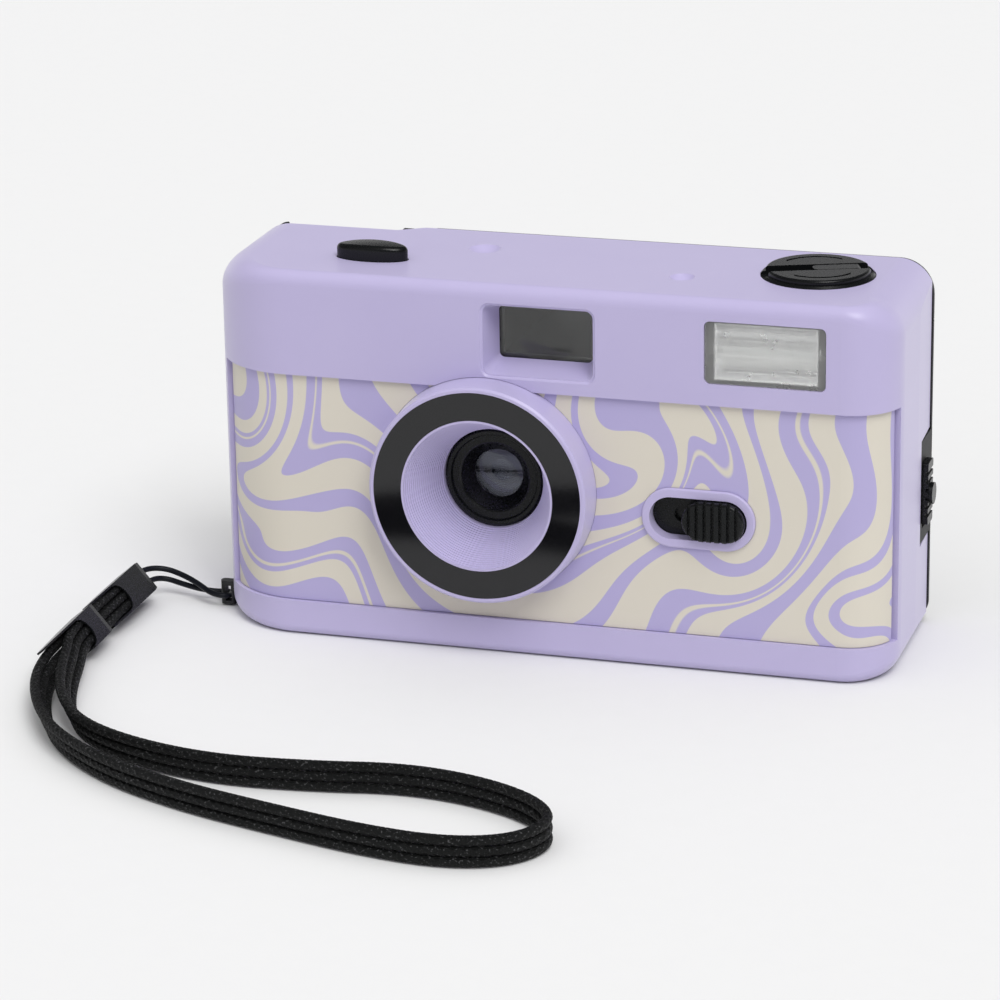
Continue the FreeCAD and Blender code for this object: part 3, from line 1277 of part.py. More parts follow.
def make_door_latch():
    """Ribbed latch that slides down on the door's tab."""
    x0 = body_w / 2 - part_gap + 0.1
    x1 = x0 + latch_proud
    pad = soft_box(x0, x1, latch_y0, latch_y1, latch_z0, latch_z1, 0.6, "x")
    pitch = (latch_z1 - latch_z0 - 2.0) / latch_ribs
    cuts = []
    for k in range(latch_ribs):
        z = latch_z0 + 1.0 + pitch * (k + 0.5)
        cuts.append(box(x1 - 0.45, x1 + 1, latch_y0 - 1, latch_y1 + 1, z - 0.3, z + 0.3))
    pad = pad.cut(Part.Compound(cuts))
    mid_y = 0.5 * (latch_y0 + latch_y1)
    mid_z = 0.5 * (latch_z0 + latch_z1)
    neck = box(x0 - tab_t - 0.3, x0 + eps, mid_y - 1.0, mid_y + 1.0, latch_z0 + 2.5, latch_z1 - 2.5)
    keeper = box(x0 - tab_t - 0.6, x0 - tab_t - 0.2, mid_y - 1.8, mid_y + 1.8, mid_z - 3, mid_z + 3)
    lug = cyl_x(mid_y + 0.15, mid_z - 0.3, lug_pad_r, x0 + 0.2, x1 + 0.6)
    return fuse([pad, neck, keeper, lug])


def make_latch_spring():
    """Leaf spring in the door's tab that pushes the latch up."""
    x1 = body_w / 2 - part_gap - tab_t - 0.1
    mid_y = 0.5 * (latch_y0 + latch_y1)
    mid_z = 0.5 * (latch_z0 + latch_z1)
    leaf = box(x1 - 0.25, x1, mid_y - 0.8, mid_y + 0.8, tab_z0 + 0.6, mid_z - 3 - seat_gap)
    return leaf


def make_pressure_plate():
    """Flat plate that keeps the film against the gate."""
    y0 = film_y + film_gap
    plate = soft_box(lens_x - pressure_w / 2, lens_x + pressure_w / 2, y0, y0 + pressure_t,
                     lens_z - pressure_h / 2, lens_z + pressure_h / 2, 2.0, "y")
    return plate


def make_pressure_spring():
    """Bowed leaf spring between the door and the pressure plate."""
    y0 = film_y + film_gap + pressure_t + 0.05
    y1 = body_d - rear_wall - 0.05
    w = pressure_spring_w
    bow = [Vector(lens_x - w / 2, y0, 0), Vector(lens_x, y1 - 0.3, 0), Vector(lens_x + w / 2, y0, 0),
           Vector(lens_x + w / 2, y0 + 0.3, 0), Vector(lens_x, y1, 0), Vector(lens_x - w / 2, y0 + 0.3, 0)]
    wire = Part.Wire([Part.Arc(bow[0], bow[1], bow[2]).toShape(), Part.makeLine(bow[2], bow[3]),
                      Part.Arc(bow[3], bow[4], bow[5]).toShape(), Part.makeLine(bow[5], bow[0])])
    leaf = Part.Face(wire).extrude(Vector(0, 0, pressure_spring_h))
    leaf.translate(Vector(0, 0, lens_z - pressure_spring_h / 2))
    return leaf


def make_door_seals():
    """Two strips of black foam that keep light out at the ends of the door."""
    strips = []
    for x in (spool_x - 7.1, cartridge_x + 6.5):
        y1 = body_d - rear_wall - seat_gap
        strips.append(box(x, x + seal_w, film_y + 0.6, y1, film_box_z0 + 1.7, film_box_z1 - 6.3))
    return Part.Compound(strips)


def make_battery_contact():
    """Bent strip above the battery, and its tongue."""
    z1 = battery_top - seat_gap
    plate = cyl_z(battery_x, battery_y, 3.2, z1 - 0.3, z1)
    tongue = box(battery_x - 1.2, battery_x + 1.2, battery_y - 1.5, battery_y + 1.5, z1 - 1.0, z1 - 0.25)
    return fuse([plate, tongue])


def battery_door_z():
    """Lower and upper face of the battery door."""
    return part_gap, part_gap + battery_door_t


def make_battery_door():
    """Flat door under the battery, with knuckles at its back edge."""
    z0, z1 = battery_door_z()
    half = battery_door_w / 2
    plate = box(battery_x - half, battery_x + half, battery_door_y0, battery_hinge_y - 0.9, z0, z1)
    grip = cyl_x(battery_door_y0 + 2.2, z0 - 0.6, 1.1, battery_x - 4, battery_x + 4)
    plate = plate.cut(grip)
    hinge = []
    for x0, x1 in ((battery_x - half, battery_x - 2.6), (battery_x + 2.6, battery_x + half)):
        hinge.append(cyl_x(battery_hinge_y, battery_hinge_z, battery_hinge_r, x0, x1))
        hinge.append(box(x0, x1, battery_hinge_y - 1.2, battery_hinge_y, battery_hinge_z - 0.5,
                         battery_hinge_z + 0.5))
    door = plate.multiFuse(hinge)
    return door.cut(cyl_x(battery_hinge_y, battery_hinge_z, battery_pin_r + shaft_gap,
                          battery_x - 20, battery_x + 20)).removeSplitter()


def make_door_contact():
    """Springy strip on the battery door."""
    z1 = battery_door_z()[1]
    strip = box(battery_x - 1.5, battery_x + 1.5, battery_y - 3.5, battery_y + 3.5, z1 + 0.02, z1 + 0.32)
    bump = cyl_x(battery_y, z1 + 0.1, 0.9, battery_x - 1.5, battery_x + 1.5)
    bump = bump.common(box(battery_x - 2, battery_x + 2, battery_y - 2, battery_y + 2, z1 + 0.02, z1 + 2))
    return fuse([strip, bump])


def make_rewind_release():
    """Small button in the base that frees the sprocket for rewinding."""
    stem = cyl_z(sprocket_x, sprocket_y, release_r, 0.35, wall + 0.3)
    flange = cyl_z(sprocket_x, sprocket_y, release_flange_r, wall + 0.15, wall + 0.8)
    top = cyl_z(sprocket_x, sprocket_y, 0.9, wall + 0.7, wall + 1.8)
    return fuse([stem, flange, top])


def make_release_spring():
    """Spring that pushes the rewind release down."""
    return coil(sprocket_x, sprocket_y, wall + 0.85, 5.15, 1.6, 0.3, 3)


def make_button_spring():
    """Coil spring under the release lever."""
    z1 = lever_top() - lever_t - seat_gap
    return coil(button_x, button_y, deck_z + seat_gap, z1, button_spring_r, spring_wire, 4)


def make_body_screws():
    """Five identical screws with crossed slots."""
    screws = []
    for x, y in base_screws:
        head = cyl_z(x, y, screw_head_r, 0.2, 0.2 + screw_head_t)
        shank = cyl_z(x, y, screw_r - 0.1, 0.2 + screw_head_t - eps, 0.2 + screw_len)
        cross = [box(x - 1.0, x + 1.0, y - 0.2, y + 0.2, 0, 0.6),
                 box(x - 0.2, x + 0.2, y - 1.0, y + 1.0, 0, 0.6)]
        screws.append(fuse([head, shank]).cut(Part.Compound(cross)))
    y1 = body_d - 0.2
    for x in rear_screws:
        z = rear_screw_z
        head = cyl_y(x, z, screw_head_r, y1 - screw_head_t + 0.45, y1)
        shank = cyl_y(x, z, screw_r - 0.1, y1 - screw_len, y1 - screw_head_t + 0.5)
        cross = [box(x - 1.0, x + 1.0, y1 - 0.35, y1 + 1, z - 0.2, z + 0.2),
                 box(x - 0.2, x + 0.2, y1 - 0.35, y1 + 1, z - 1.0, z + 1.0)]
        screws.append(fuse([head, shank]).cut(Part.Compound(cross)))
    return Part.Compound(screws)


def make_strap_lug():
    """Eyelet low on the left side, with a bar for the strap."""
    side = -body_w / 2
    x_out, x_root, x_in = side - lug_reach, side + lug_root, side + wall + 1.75
    eyelet = soft_box(x_out, x_root, lug_y0, lug_y1, lug_z0, lug_z1, lug_root, "z")
    hole = box(x_out + lug_bar, side + 0.1, lug_y0 - 1, lug_y1 + 1,
               lug_z0 + lug_low_arm, lug_z1 - lug_top_arm)
    stem = box(x_root - lug_root, x_in - 0.2, lug_y0, lug_y1, lug_stem_z0, lug_z1)
    plate = box(x_in - 0.7, x_in, lug_y0 - 0.8, lug_y1 + 0.8, lug_stem_z0 + 1.0, lug_z1 + 0.8)
    return fuse([eyelet.cut(hole), stem, plate])


def clip_frame(head, tail):
    """Axes of a strap clip: along it, across its long side and across its short side."""
    a = (Vector(*tail) - Vector(*head)).normalize()
    up = Vector(0, 0, 1)
    side = a.cross(up).normalize()
    up = side.cross(a).normalize()
    roll = math.radians(clip_roll)
    long_way = up * math.cos(roll) + side * math.sin(roll)
    short_way = side * math.cos(roll) - up * math.sin(roll)
    return a, long_way, short_way


def clip_loft(head, frame, stations):
    """Ruled body through rectangles set along a clip."""
    a, long_way, short_way = frame
    wires = []
    for along, half_long, half_short in stations:
        mid = Vector(*head) + a * along
        corners = [mid + long_way * sl * half_long + short_way * ss * half_short
                   for sl, ss in ((-1, -1), (1, -1), (1, 1), (-1, 1))]
        wires.append(Part.makePolygon(corners + [corners[0]]))
    return Part.makeLoft(wires, True, True)


def make_strap_clip(head, tail, ends, closed):
    """Black clip that grips the cords, with a notch between its two tongues."""
    notch_at, top_end, low_end = ends
    frame = clip_frame(head, tail)
    a, long_way, short_way = frame
    hl, hs = clip_long / 2, clip_short / 2
    body = clip_loft(head, frame, [(0, hl * 0.94, hs * 0.94), (1.2, hl, hs), (notch_at, hl, hs),
                                   (top_end, hl, hs * clip_tip)])
    start = clip_cap if closed else -1
    inner_l, inner_s = hl - clip_wall, hs - clip_wall
    hollow = clip_loft(head, frame, [(start, inner_l, inner_s), (top_end + 1, inner_l, inner_s)])
    mid = Vector(*head) + a * notch_at - short_way * 10
    notch = Part.makeCylinder(inner_l, 20, mid, short_way)
    mouth = clip_loft(head, frame, [(notch_at, inner_l, 10), (top_end + 1, inner_l, 10)])
    below = Vector(*head) - long_way * 2 * hl
    short_end = clip_loft(below, frame, [(low_end, 1.5 * hl, 10), (top_end + 1, 1.5 * hl, 10)])
    return body.cut(Part.Compound([hollow, notch])).cut(mouth).cut(short_end)


def smooth_tube(points, radius):
    """Tube along straight runs joined by arcs as large as the runs allow."""
    pts = [Vector(*p) for p in points]
    edges = []
    radii = []
    last = pts[0]
    for before, here, after in zip(pts, pts[1:], pts[2:]):
        back, ahead = before - here, after - here
        cut = 0.45 * min(back.Length, ahead.Length)
        back.normalize()
        ahead.normalize()
        half = (math.pi - back.getAngle(ahead)) / 2
        radii.append(cut / math.tan(half))
        bow = radii[-1] * (1 / math.cos(half) - 1)
        middle = here + (back + ahead).normalize() * bow
        start, end = here + back * cut, here + ahead * cut
        edges.append(Part.LineSegment(last, start).toShape())
        edges.append(Part.Arc(start, middle, end).toShape())
        last = end
    edges.append(Part.LineSegment(last, pts[-1]).toShape())
    path = Part.Wire(edges)
    section = Part.Wire(Part.Circle(pts[0], (pts[1] - pts[0]).normalize(), radius).toShape())
    tube = path.makePipeShell([section], True, False)
    share = tube.Volume / (math.pi * radius * radius * path.Length)
    return tube, path.Length, min(radii), share


def braid_route(k):
    """Route of one of the three cords of the wrist loop."""
    pts = [Vector(x, y, z) for x, y, z, _ in loop_route]
    route = []
    for n, (x, y, z, lean) in enumerate(loop_route):
        way = pts[min(n + 1, len(pts) - 1)] - pts[max(n - 1, 0)]
        way.z = 0
        way.normalize()
        left = Vector(-way.y, way.x, 0)
        tilt = math.radians(lean)
        step = (k - 1) * braid_pitch
        route.append(pts[n] + left * step * math.sin(tilt) + Vector(0, 0, step * math.cos(tilt)))
    return route


def build():
    """Make and save every piece."""
    save("front_cover", make_front_cover())
    save("front_panel", make_front_panel())
    save("lens_hood", make_lens_hood())
    save("nameplate_ring", make_nameplate_ring())
    save("lens_barrel", make_lens_barrel())
    save("front_lens", make_disc_lens(front_lens_y, front_lens_t, 0.5, 0.3))
    rear_y = front_lens_y + front_lens_t + stop_t + 3 * seat_gap
    save("rear_lens", make_disc_lens(rear_y, rear_lens_t, 0.3, 0.3))
    save("aperture_stop", make_aperture_stop())
    save("shutter_plate", make_shutter_plate())
    save("shutter_blade", make_shutter_blade())
    save("blade_spring", make_blade_spring())
    save("release_lever", make_release_lever())
    save("shutter_button", make_shutter_button())
    save("button_spring", make_button_spring())
    save("chassis", make_chassis())
    save("cartridge_housing", make_cartridge_housing())
    save("takeup_housing", make_takeup_housing())
    save("dark_box", make_dark_box())
    save("takeup_spool", make_takeup_spool())
    save("thumbwheel", make_thumbwheel())
    save("sprocket_wheel", make_sprocket_wheel())
    save("frame_counter", make_frame_counter())
    save("viewfinder_window", make_viewfinder_window())
    save("viewfinder_tunnel", make_viewfinder_tunnel())
    save("viewfinder_eyepiece", make_viewfinder_eyepiece())
    save("flash_window", make_flash_window())
    save("flash_reflector", make_flash_reflector())
    save("flash_tube", make_flash_tube())
    save("flash_board", make_flash_board())
    save("flash_capacitor", make_flash_capacitor())
    save("ready_lamp", make_ready_lamp())
    save("switch_bezel", make_switch_bezel())
    save("switch_plate", make_switch_plate())
    save("switch_knob", make_switch_knob())
    save("rewind_knob", make_rewind_knob())
    save("rewind_crank", make_rewind_crank())
    save("rewind_shaft", make_rewind_shaft())
    save("rewind_clip", make_rewind_clip())
    save("rear_cover", make_rear_cover())
    save("back_door", make_back_door())
    save("hinge_pin", make_hinge_pin())
    save("door_latch", make_door_latch())
    save("latch_spring", make_latch_spring())
    save("pressure_plate", make_pressure_plate())
    save("pressure_spring", make_pressure_spring())
    save("door_seals", make_door_seals())
    save("battery_contact", make_battery_contact())
    save("battery_door", make_battery_door())
    save("battery_tube", make_battery_tube())
    save("door_contact", make_door_contact())
    save("rewind_release", make_rewind_release())
    save("release_spring", make_release_spring())
    save("body_screws", make_body_screws())
    save("strap_lug", make_strap_lug())
    save("strap_clip_a", make_strap_clip(clip_a_head, clip_a_tail, clip_a_ends, True))
    save("strap_clip_b", make_strap_clip(clip_b_head, clip_b_tail, clip_b_ends, False))
    save_cord("strap_thin_cord", thin_route, thin_d)
    for k in range(3):
        save_cord("strap_cord_" + str(k + 1), braid_route(k), braid_d)


def save_cord(name, route, diameter):
    """Save one cord, and print its length, tightest bend and volume check."""
    tube, length, least, share = smooth_tube(route, diameter / 2)
    print(name, "length", round(length, 1), "least radius", round(least, 2), "volume share", round(share, 4))
    save(name, tube)


os.makedirs("parts", exist_ok=True)
build()
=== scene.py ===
# %% [markdown]
# A compact film camera with a wrist strap, dressed for its portrait. The shapes of the hard parts
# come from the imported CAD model, which is loaded as a fixed frame. This script adds what a CAD
# model leaves out: finishes, the braid of the cords, the clips of the strap and the print.

# %% Load the frame
import math

import bpy
from mathutils import Matrix, Vector


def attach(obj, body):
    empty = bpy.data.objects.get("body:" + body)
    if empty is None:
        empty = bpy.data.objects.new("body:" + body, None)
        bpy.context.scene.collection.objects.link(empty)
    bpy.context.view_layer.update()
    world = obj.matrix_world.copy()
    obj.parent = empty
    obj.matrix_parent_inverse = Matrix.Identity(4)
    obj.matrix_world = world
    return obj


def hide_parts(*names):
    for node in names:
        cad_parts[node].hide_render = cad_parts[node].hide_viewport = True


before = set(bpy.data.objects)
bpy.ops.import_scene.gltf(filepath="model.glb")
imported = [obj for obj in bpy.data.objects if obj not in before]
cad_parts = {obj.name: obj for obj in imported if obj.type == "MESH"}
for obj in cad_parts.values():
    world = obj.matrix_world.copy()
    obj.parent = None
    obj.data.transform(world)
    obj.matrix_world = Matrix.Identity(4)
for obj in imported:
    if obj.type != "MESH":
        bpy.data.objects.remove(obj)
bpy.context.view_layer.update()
MM = 0.001
print("nodes loaded:", len(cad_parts))

# %% [markdown]
# Depths are easiest to think of as millimetres behind the front face of the body. The model's
# origin is the middle of its base, half a body deeper, so one small helper turns a place given
# that way into metres in the model's own frame.

# %% Places on the camera
BODY_DEPTH = 35.0
BODY_WIDTH = 115.0
LENS_X, LENS_Z = -9.1, 28.3


def place(x, depth, z):
    """A point in metres, from millimetres and the depth behind the front face."""
    return Vector((x * MM, (depth - BODY_DEPTH / 2) * MM, z * MM))


print("lens axis at", place(LENS_X, 0, LENS_Z))

# %% [markdown]
# The photograph was taken from the right and above with a long lens. A long lens keeps the
# camera's edges nearly parallel, so the distance matters as much as the angle: both were worked
# out from the corners of the body.

# %% Camera
AZIMUTH, ELEVATION, ROLL = math.radians(17.15), math.radians(18.52), math.radians(-0.91)


def aim(azimuth, elevation, roll):
    """Rotation of a camera that looks back at the object from the right and above."""
    forward = Vector((-math.sin(azimuth) * math.cos(elevation),
                      math.cos(azimuth) * math.cos(elevation), -math.sin(elevation)))
    right = Vector((math.cos(azimuth), math.sin(azimuth), 0))
    up = right.cross(forward)
    across = right * math.cos(roll) + up * math.sin(roll)
    upward = up * math.cos(roll) - right * math.sin(roll)
    return Matrix((across, upward, -forward)).transposed().to_4x4()


eye = bpy.data.objects.new("eye", bpy.data.cameras.new("eye"))
bpy.context.collection.objects.link(eye)
eye.matrix_world = Matrix.Translation(place(179.21, -602.21, 237.45)) @ aim(AZIMUTH, ELEVATION, ROLL)
eye.data.lens = 148.68
eye.data.sensor_width = 36.0
eye.data.clip_start = 0.05
bpy.context.scene.camera = eye
print("camera is", round(eye.location.length, 3), "m from the origin")

# %% [markdown]
# A product photograph like this one has one broad soft light above and in front, and a pale
# table that fills the shadows. A sun with a wide disc gives the broad light without getting
# weaker across the floor. The world fills in, and it is brighter overhead than at the sides, as
# under a big soft box, so the top of the body comes out lighter than its front. In reflections
# only a low band behind the object is bright, so black pieces stay black.

# %% Light
BACKGROUND = (0.896, 0.896, 0.9, 1)
ROOM = (0.06, 0.06, 0.065, 1)
scene = bpy.context.scene
scene.view_settings.view_transform = "Standard"
world = bpy.data.worlds.new("studio")
scene.world = world
world.use_nodes = True
sky = world.node_tree
sky.nodes.clear()


def sky_node(kind, values=None, **settings):
    """A node of the world, with its settings and the values or links of its inputs."""
    made = sky.nodes.new(kind)
    for key, value in settings.items():
        setattr(made, key, value)
    for key, value in (values or {}).items():
        if isinstance(value, bpy.types.NodeSocket):
            sky.links.new(value, made.inputs[key])
        else:
            made.inputs[key].default_value = value
    return made


ray = sky_node("ShaderNodeLightPath").outputs
way = sky_node("ShaderNodeSeparateXYZ", {0: sky_node("ShaderNodeTexCoord").outputs["Generated"]}).outputs
behind = sky_node("ShaderNodeMapRange", {"Value": way[1], "From Min": -0.15, "From Max": 0.35},
                  interpolation_type="SMOOTHSTEP").outputs[0]
low = sky_node("ShaderNodeMapRange", {"Value": way[2], "From Min": 0.34, "From Max": 0.16},
               interpolation_type="SMOOTHSTEP").outputs[0]
backdrop = sky_node("ShaderNodeMath", {0: behind, 1: low}, operation="MULTIPLY").outputs[0]
mirrored = sky_node("ShaderNodeMix", {"Factor": backdrop}, data_type="RGBA")
mirrored.inputs["A"].default_value = ROOM
mirrored.inputs["B"].default_value = BACKGROUND
glossy = sky_node("ShaderNodeBackground", {"Color": mirrored.outputs["Result"]})
seen = sky_node("ShaderNodeBackground", {"Color": BACKGROUND})
overhead = sky_node("ShaderNodeMapRange", {"Value": way[2], "To Min": 0.1, "To Max": 1.05}).outputs[0]
fill = sky_node("ShaderNodeBackground", {"Color": (1, 1, 1, 1), "Strength": overhead})
shaded = sky_node("ShaderNodeMixShader", {0: ray["Is Glossy Ray"], 1: fill.outputs[0], 2: glossy.outputs[0]})
direct = sky_node("ShaderNodeMath", {0: ray["Is Camera Ray"], 1: ray["Is Transmission Ray"]},
                  operation="MAXIMUM").outputs[0]
choose = sky_node("ShaderNodeMixShader", {0: direct, 1: shaded.outputs[0], 2: seen.outputs[0]})
sky_node("ShaderNodeOutputWorld", {"Surface": choose.outputs[0]})


def sun(name, strength, degrees_wide, towards):
    """A distant lamp that shines along a direction."""
    lamp = bpy.data.objects.new(name, bpy.data.lights.new(name, "SUN"))
    lamp.data.energy = strength
    lamp.data.angle = math.radians(degrees_wide)
    lamp.rotation_euler = Vector(towards).to_track_quat("-Z", "Y").to_euler()
    bpy.context.collection.objects.link(lamp)
    return lamp


sun("key", 1.5, 32, (-0.42, 0.5, -0.9))
sun("front_fill", 0.15, 60, (0.5, 0.9, -0.35))
sun("sparkle", 0.12, 5, (-0.5, 0.75, -0.7))
print("lamps:", len(bpy.data.lights))

# %% [markdown]
# Every finish below is built from a few shader nodes, so two short helpers save a lot of typing:
# one makes a material with its main shader, and one adds a node and fills in its inputs.

# %% Helpers for materials


def new_finish(name, colour, roughness, **more):
    """A material with a main shader, and its node tree."""
    made = bpy.data.materials.new(name)
    made.use_nodes = True
    shader = made.node_tree.nodes["Principled BSDF"]
    shader.inputs["Base Color"].default_value = (*colour, 1)
    shader.inputs["Roughness"].default_value = roughness
    for key, value in more.items():
        shader.inputs[key.replace("_", " ")].default_value = value
    return made, made.node_tree, shader


def add(tree, kind, values=None, **settings):
    """A node with its settings and the values or links of its inputs."""
    made = tree.nodes.new(kind)
    for key, value in settings.items():
        setattr(made, key, value)
    for key, value in (values or {}).items():
        if isinstance(value, bpy.types.NodeSocket):
            tree.links.new(value, made.inputs[key])
        else:
            made.inputs[key].default_value = value
    return made


def maths(tree, operation, first, second=0.0, clamp=False):
    """The result of one sum on numbers or links."""
    made = add(tree, "ShaderNodeMath", {0: first, 1: second}, operation=operation, use_clamp=clamp)
    return made.outputs[0]


def object_place(tree):
    """Place of the shaded point in the object's own metres."""
    return add(tree, "ShaderNodeTexCoord").outputs["Object"]


def speckle(tree, where, size, detail=2.0, roughness=0.5, seed=0.0):
    """Noise whose blobs have about the given size in metres."""
    moved = add(tree, "ShaderNodeVectorMath", {0: where, 1: (seed, seed * 0.37, -seed * 0.61)},
                operation="ADD").outputs[0]
    noise = add(tree, "ShaderNodeTexNoise", {"Vector": moved, "Scale": 1 / size, "Detail": detail,
                                             "Roughness": roughness})
    return noise.outputs["Fac"]


def spread(tree, value, low, high):
    """Turn 0 to 1 into low to high."""
    return add(tree, "ShaderNodeMapRange", {"Value": value, "To Min": low, "To Max": high}).outputs[0]


def tint(tree, share, first, second):
    """Mix of two colours."""
    made = add(tree, "ShaderNodeMix", {"Factor": share}, data_type="RGBA")
    made.inputs["A"].default_value = (*first, 1)
    made.inputs["B"].default_value = (*second, 1)
    return made.outputs["Result"]


def relief(tree, shader, height, distance, strength=1.0):
    """Small bumps of the given height in metres."""
    bump = add(tree, "ShaderNodeBump", {"Height": height, "Distance": distance, "Strength": strength})
    tree.links.new(bump.outputs[0], shader.inputs["Normal"])


def dress(material, *nodes):
    """Give a finish to CAD nodes, whose shapes stay as they are."""
    for name in nodes:
        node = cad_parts[name]
        for place_of_finish in node.material_slots:
            place_of_finish.link = "OBJECT"
            place_of_finish.material = material


# %% [markdown]
# The floor is a plain pale sheet that takes the soft shadow under the camera. It is larger than
# the view, so no horizon shows.

# %% Floor
FLOOR_HALF, FLOOR_Z = 3, -0.0001
floor_finish, floor_tree, floor_shader = new_finish("pale_paper", (0.79, 0.79, 0.79), 0.9)
floor_shader.inputs["Specular IOR Level"].default_value = 0.1
paper = speckle(floor_tree, object_place(floor_tree), 0.004, 3.0)
floor_tree.links.new(tint(floor_tree, paper, (0.785, 0.785, 0.787), (0.797, 0.797, 0.799)),
                     floor_shader.inputs["Base Color"])
floor_mesh = bpy.data.meshes.new("floor")
corners = [(x * FLOOR_HALF, y * FLOOR_HALF, FLOOR_Z) for x, y in ((-1, -1), (1, -1), (1, 1), (-1, 1))]
floor_mesh.from_pydata(corners, [], [(0, 1, 2, 3)])
floor_mesh.materials.append(floor_finish)
floor = bpy.data.objects.new("floor", floor_mesh)
bpy.context.collection.objects.link(floor)

# %% [markdown]
# The strap comes first. Three thin braided cords run side by side in one long loop, and both ends
# go into the end clip. Each cord follows a smooth spline whose control points are those of the
# CAD route. The stack of three leans as it goes, so one route and a lean angle give all three.

# %% Routes of the cords
CORD_D, CORD_PITCH, THIN_D = 1.6, 1.65, 0.95
LOOP_ROUTE = (
    (-72.61, 3.45, 4.13, -40), (-72.5, -5.2, 4.13, -40), (-72.31, -14.0, 4.13, -40),
    (-71.97, -22.5, 4.13, -40), (-69.8, -29.0, 3.9, -40), (-67.4, -38.0, 3.3, -34),
    (-63.9, -46.4, 2.9, -26), (-57.4, -55.4, 2.65, -14), (-46.0, -61.4, 2.5, -6),
    (-32.0, -64.4, 2.48, -3), (-17.0, -63.2, 2.48, 0), (-3.6, -60.6, 2.48, 0),
    (8.6, -62.4, 2.48, 0), (19.0, -67.4, 2.48, 0), (23.6, -74.4, 2.48, 0),
    (20.0, -82.2, 2.48, 0), (10.6, -85.6, 2.48, 0), (-2.4, -84.2, 2.48, 2),
    (-17.6, -80.2, 2.48, 4), (-33.4, -75.6, 2.48, 6), (-48.4, -68.8, 2.48, 10),
    (-60.2, -59.4, 2.55, 16), (-66.6, -49.8, 2.7, 26), (-70.8, -40.4, 2.9, 34),
    (-72.75, -31.5, 3.05, 40), (-73.23, -23.0, 3.07, 40), (-73.57, -14.0, 3.07, 40),
    (-73.76, -5.2, 3.07, 40), (-73.87, 3.45, 3.07, 40))
THIN_ROUTE = (
    (-73.4, 8.55, 4.95), (-73.2, 11.2, 4.95), (-70.4, 13.4, 4.5), (-66.8, 13.0, 3.6),
    (-63.6, 11.4, 2.9), (-60.6, 9.3, 2.2), (-58.0, 9.3, 2.0), (-57.95, 12.2, 1.35),
    (-58.9, 13.7, 1.3), (-61.0, 12.8, 1.35), (-64.0, 12.4, 1.7), (-67.3, 12.8, 2.2),
    (-70.2, 13.1, 2.8), (-71.9, 11.0, 3.3), (-72.0, 8.6, 3.3))


def beside(route, step):
    """The route of a cord that lies beside the middle one, by a step along the lean."""
    points = [Vector(row[:3]) for row in route]
    moved = []
    for n, row in enumerate(route):
        way = points[min(n + 1, len(points) - 1)] - points[max(n - 1, 0)]
        way.z = 0
        way.normalize()
        lean = math.radians(row[3])
        left = Vector((-way.y, way.x, 0))
        moved.append(points[n] + left * step * math.sin(lean) + Vector((0, 0, step * math.cos(lean))))
    return moved


def spline_through(name, points):
    """A smooth curve with the route's points as its control points."""
    data = bpy.data.curves.new(name, "CURVE")
    data.dimensions = "3D"
    data.resolution_u = 24
    line = data.splines.new("NURBS")
    line.points.add(len(points) - 1)
    for spot, point in zip(line.points, points):
        spot.co = (*place(*point), 1)
    line.order_u = 3
    line.use_endpoint_u = True
    made = bpy.data.objects.new(name, data)
    bpy.context.collection.objects.link(made)
    return made


def line_of(curve):
    """The points of a curve, as Blender works them out."""
    flat = bpy.data.meshes.new_from_object(curve)
    points = [v.co.copy() for v in flat.vertices]
    bpy.data.meshes.remove(flat)
    return points


def length_of(points):
    """Length of a line of points."""
    return sum((b - a).length for a, b in zip(points, points[1:]))


# %% [markdown]
# A braided cord is a tube whose skin is a weave of small strands. Geometry Nodes sweep a ring of
# points along the spline, and then lift each point a little where a strand crosses it. The angle
# round the cord and the way along it are kept as an attribute, so the material can draw the same
# weave in colour.

# %% Braid made with Geometry Nodes
STRANDS = 5.0
PITCH = 0.0016


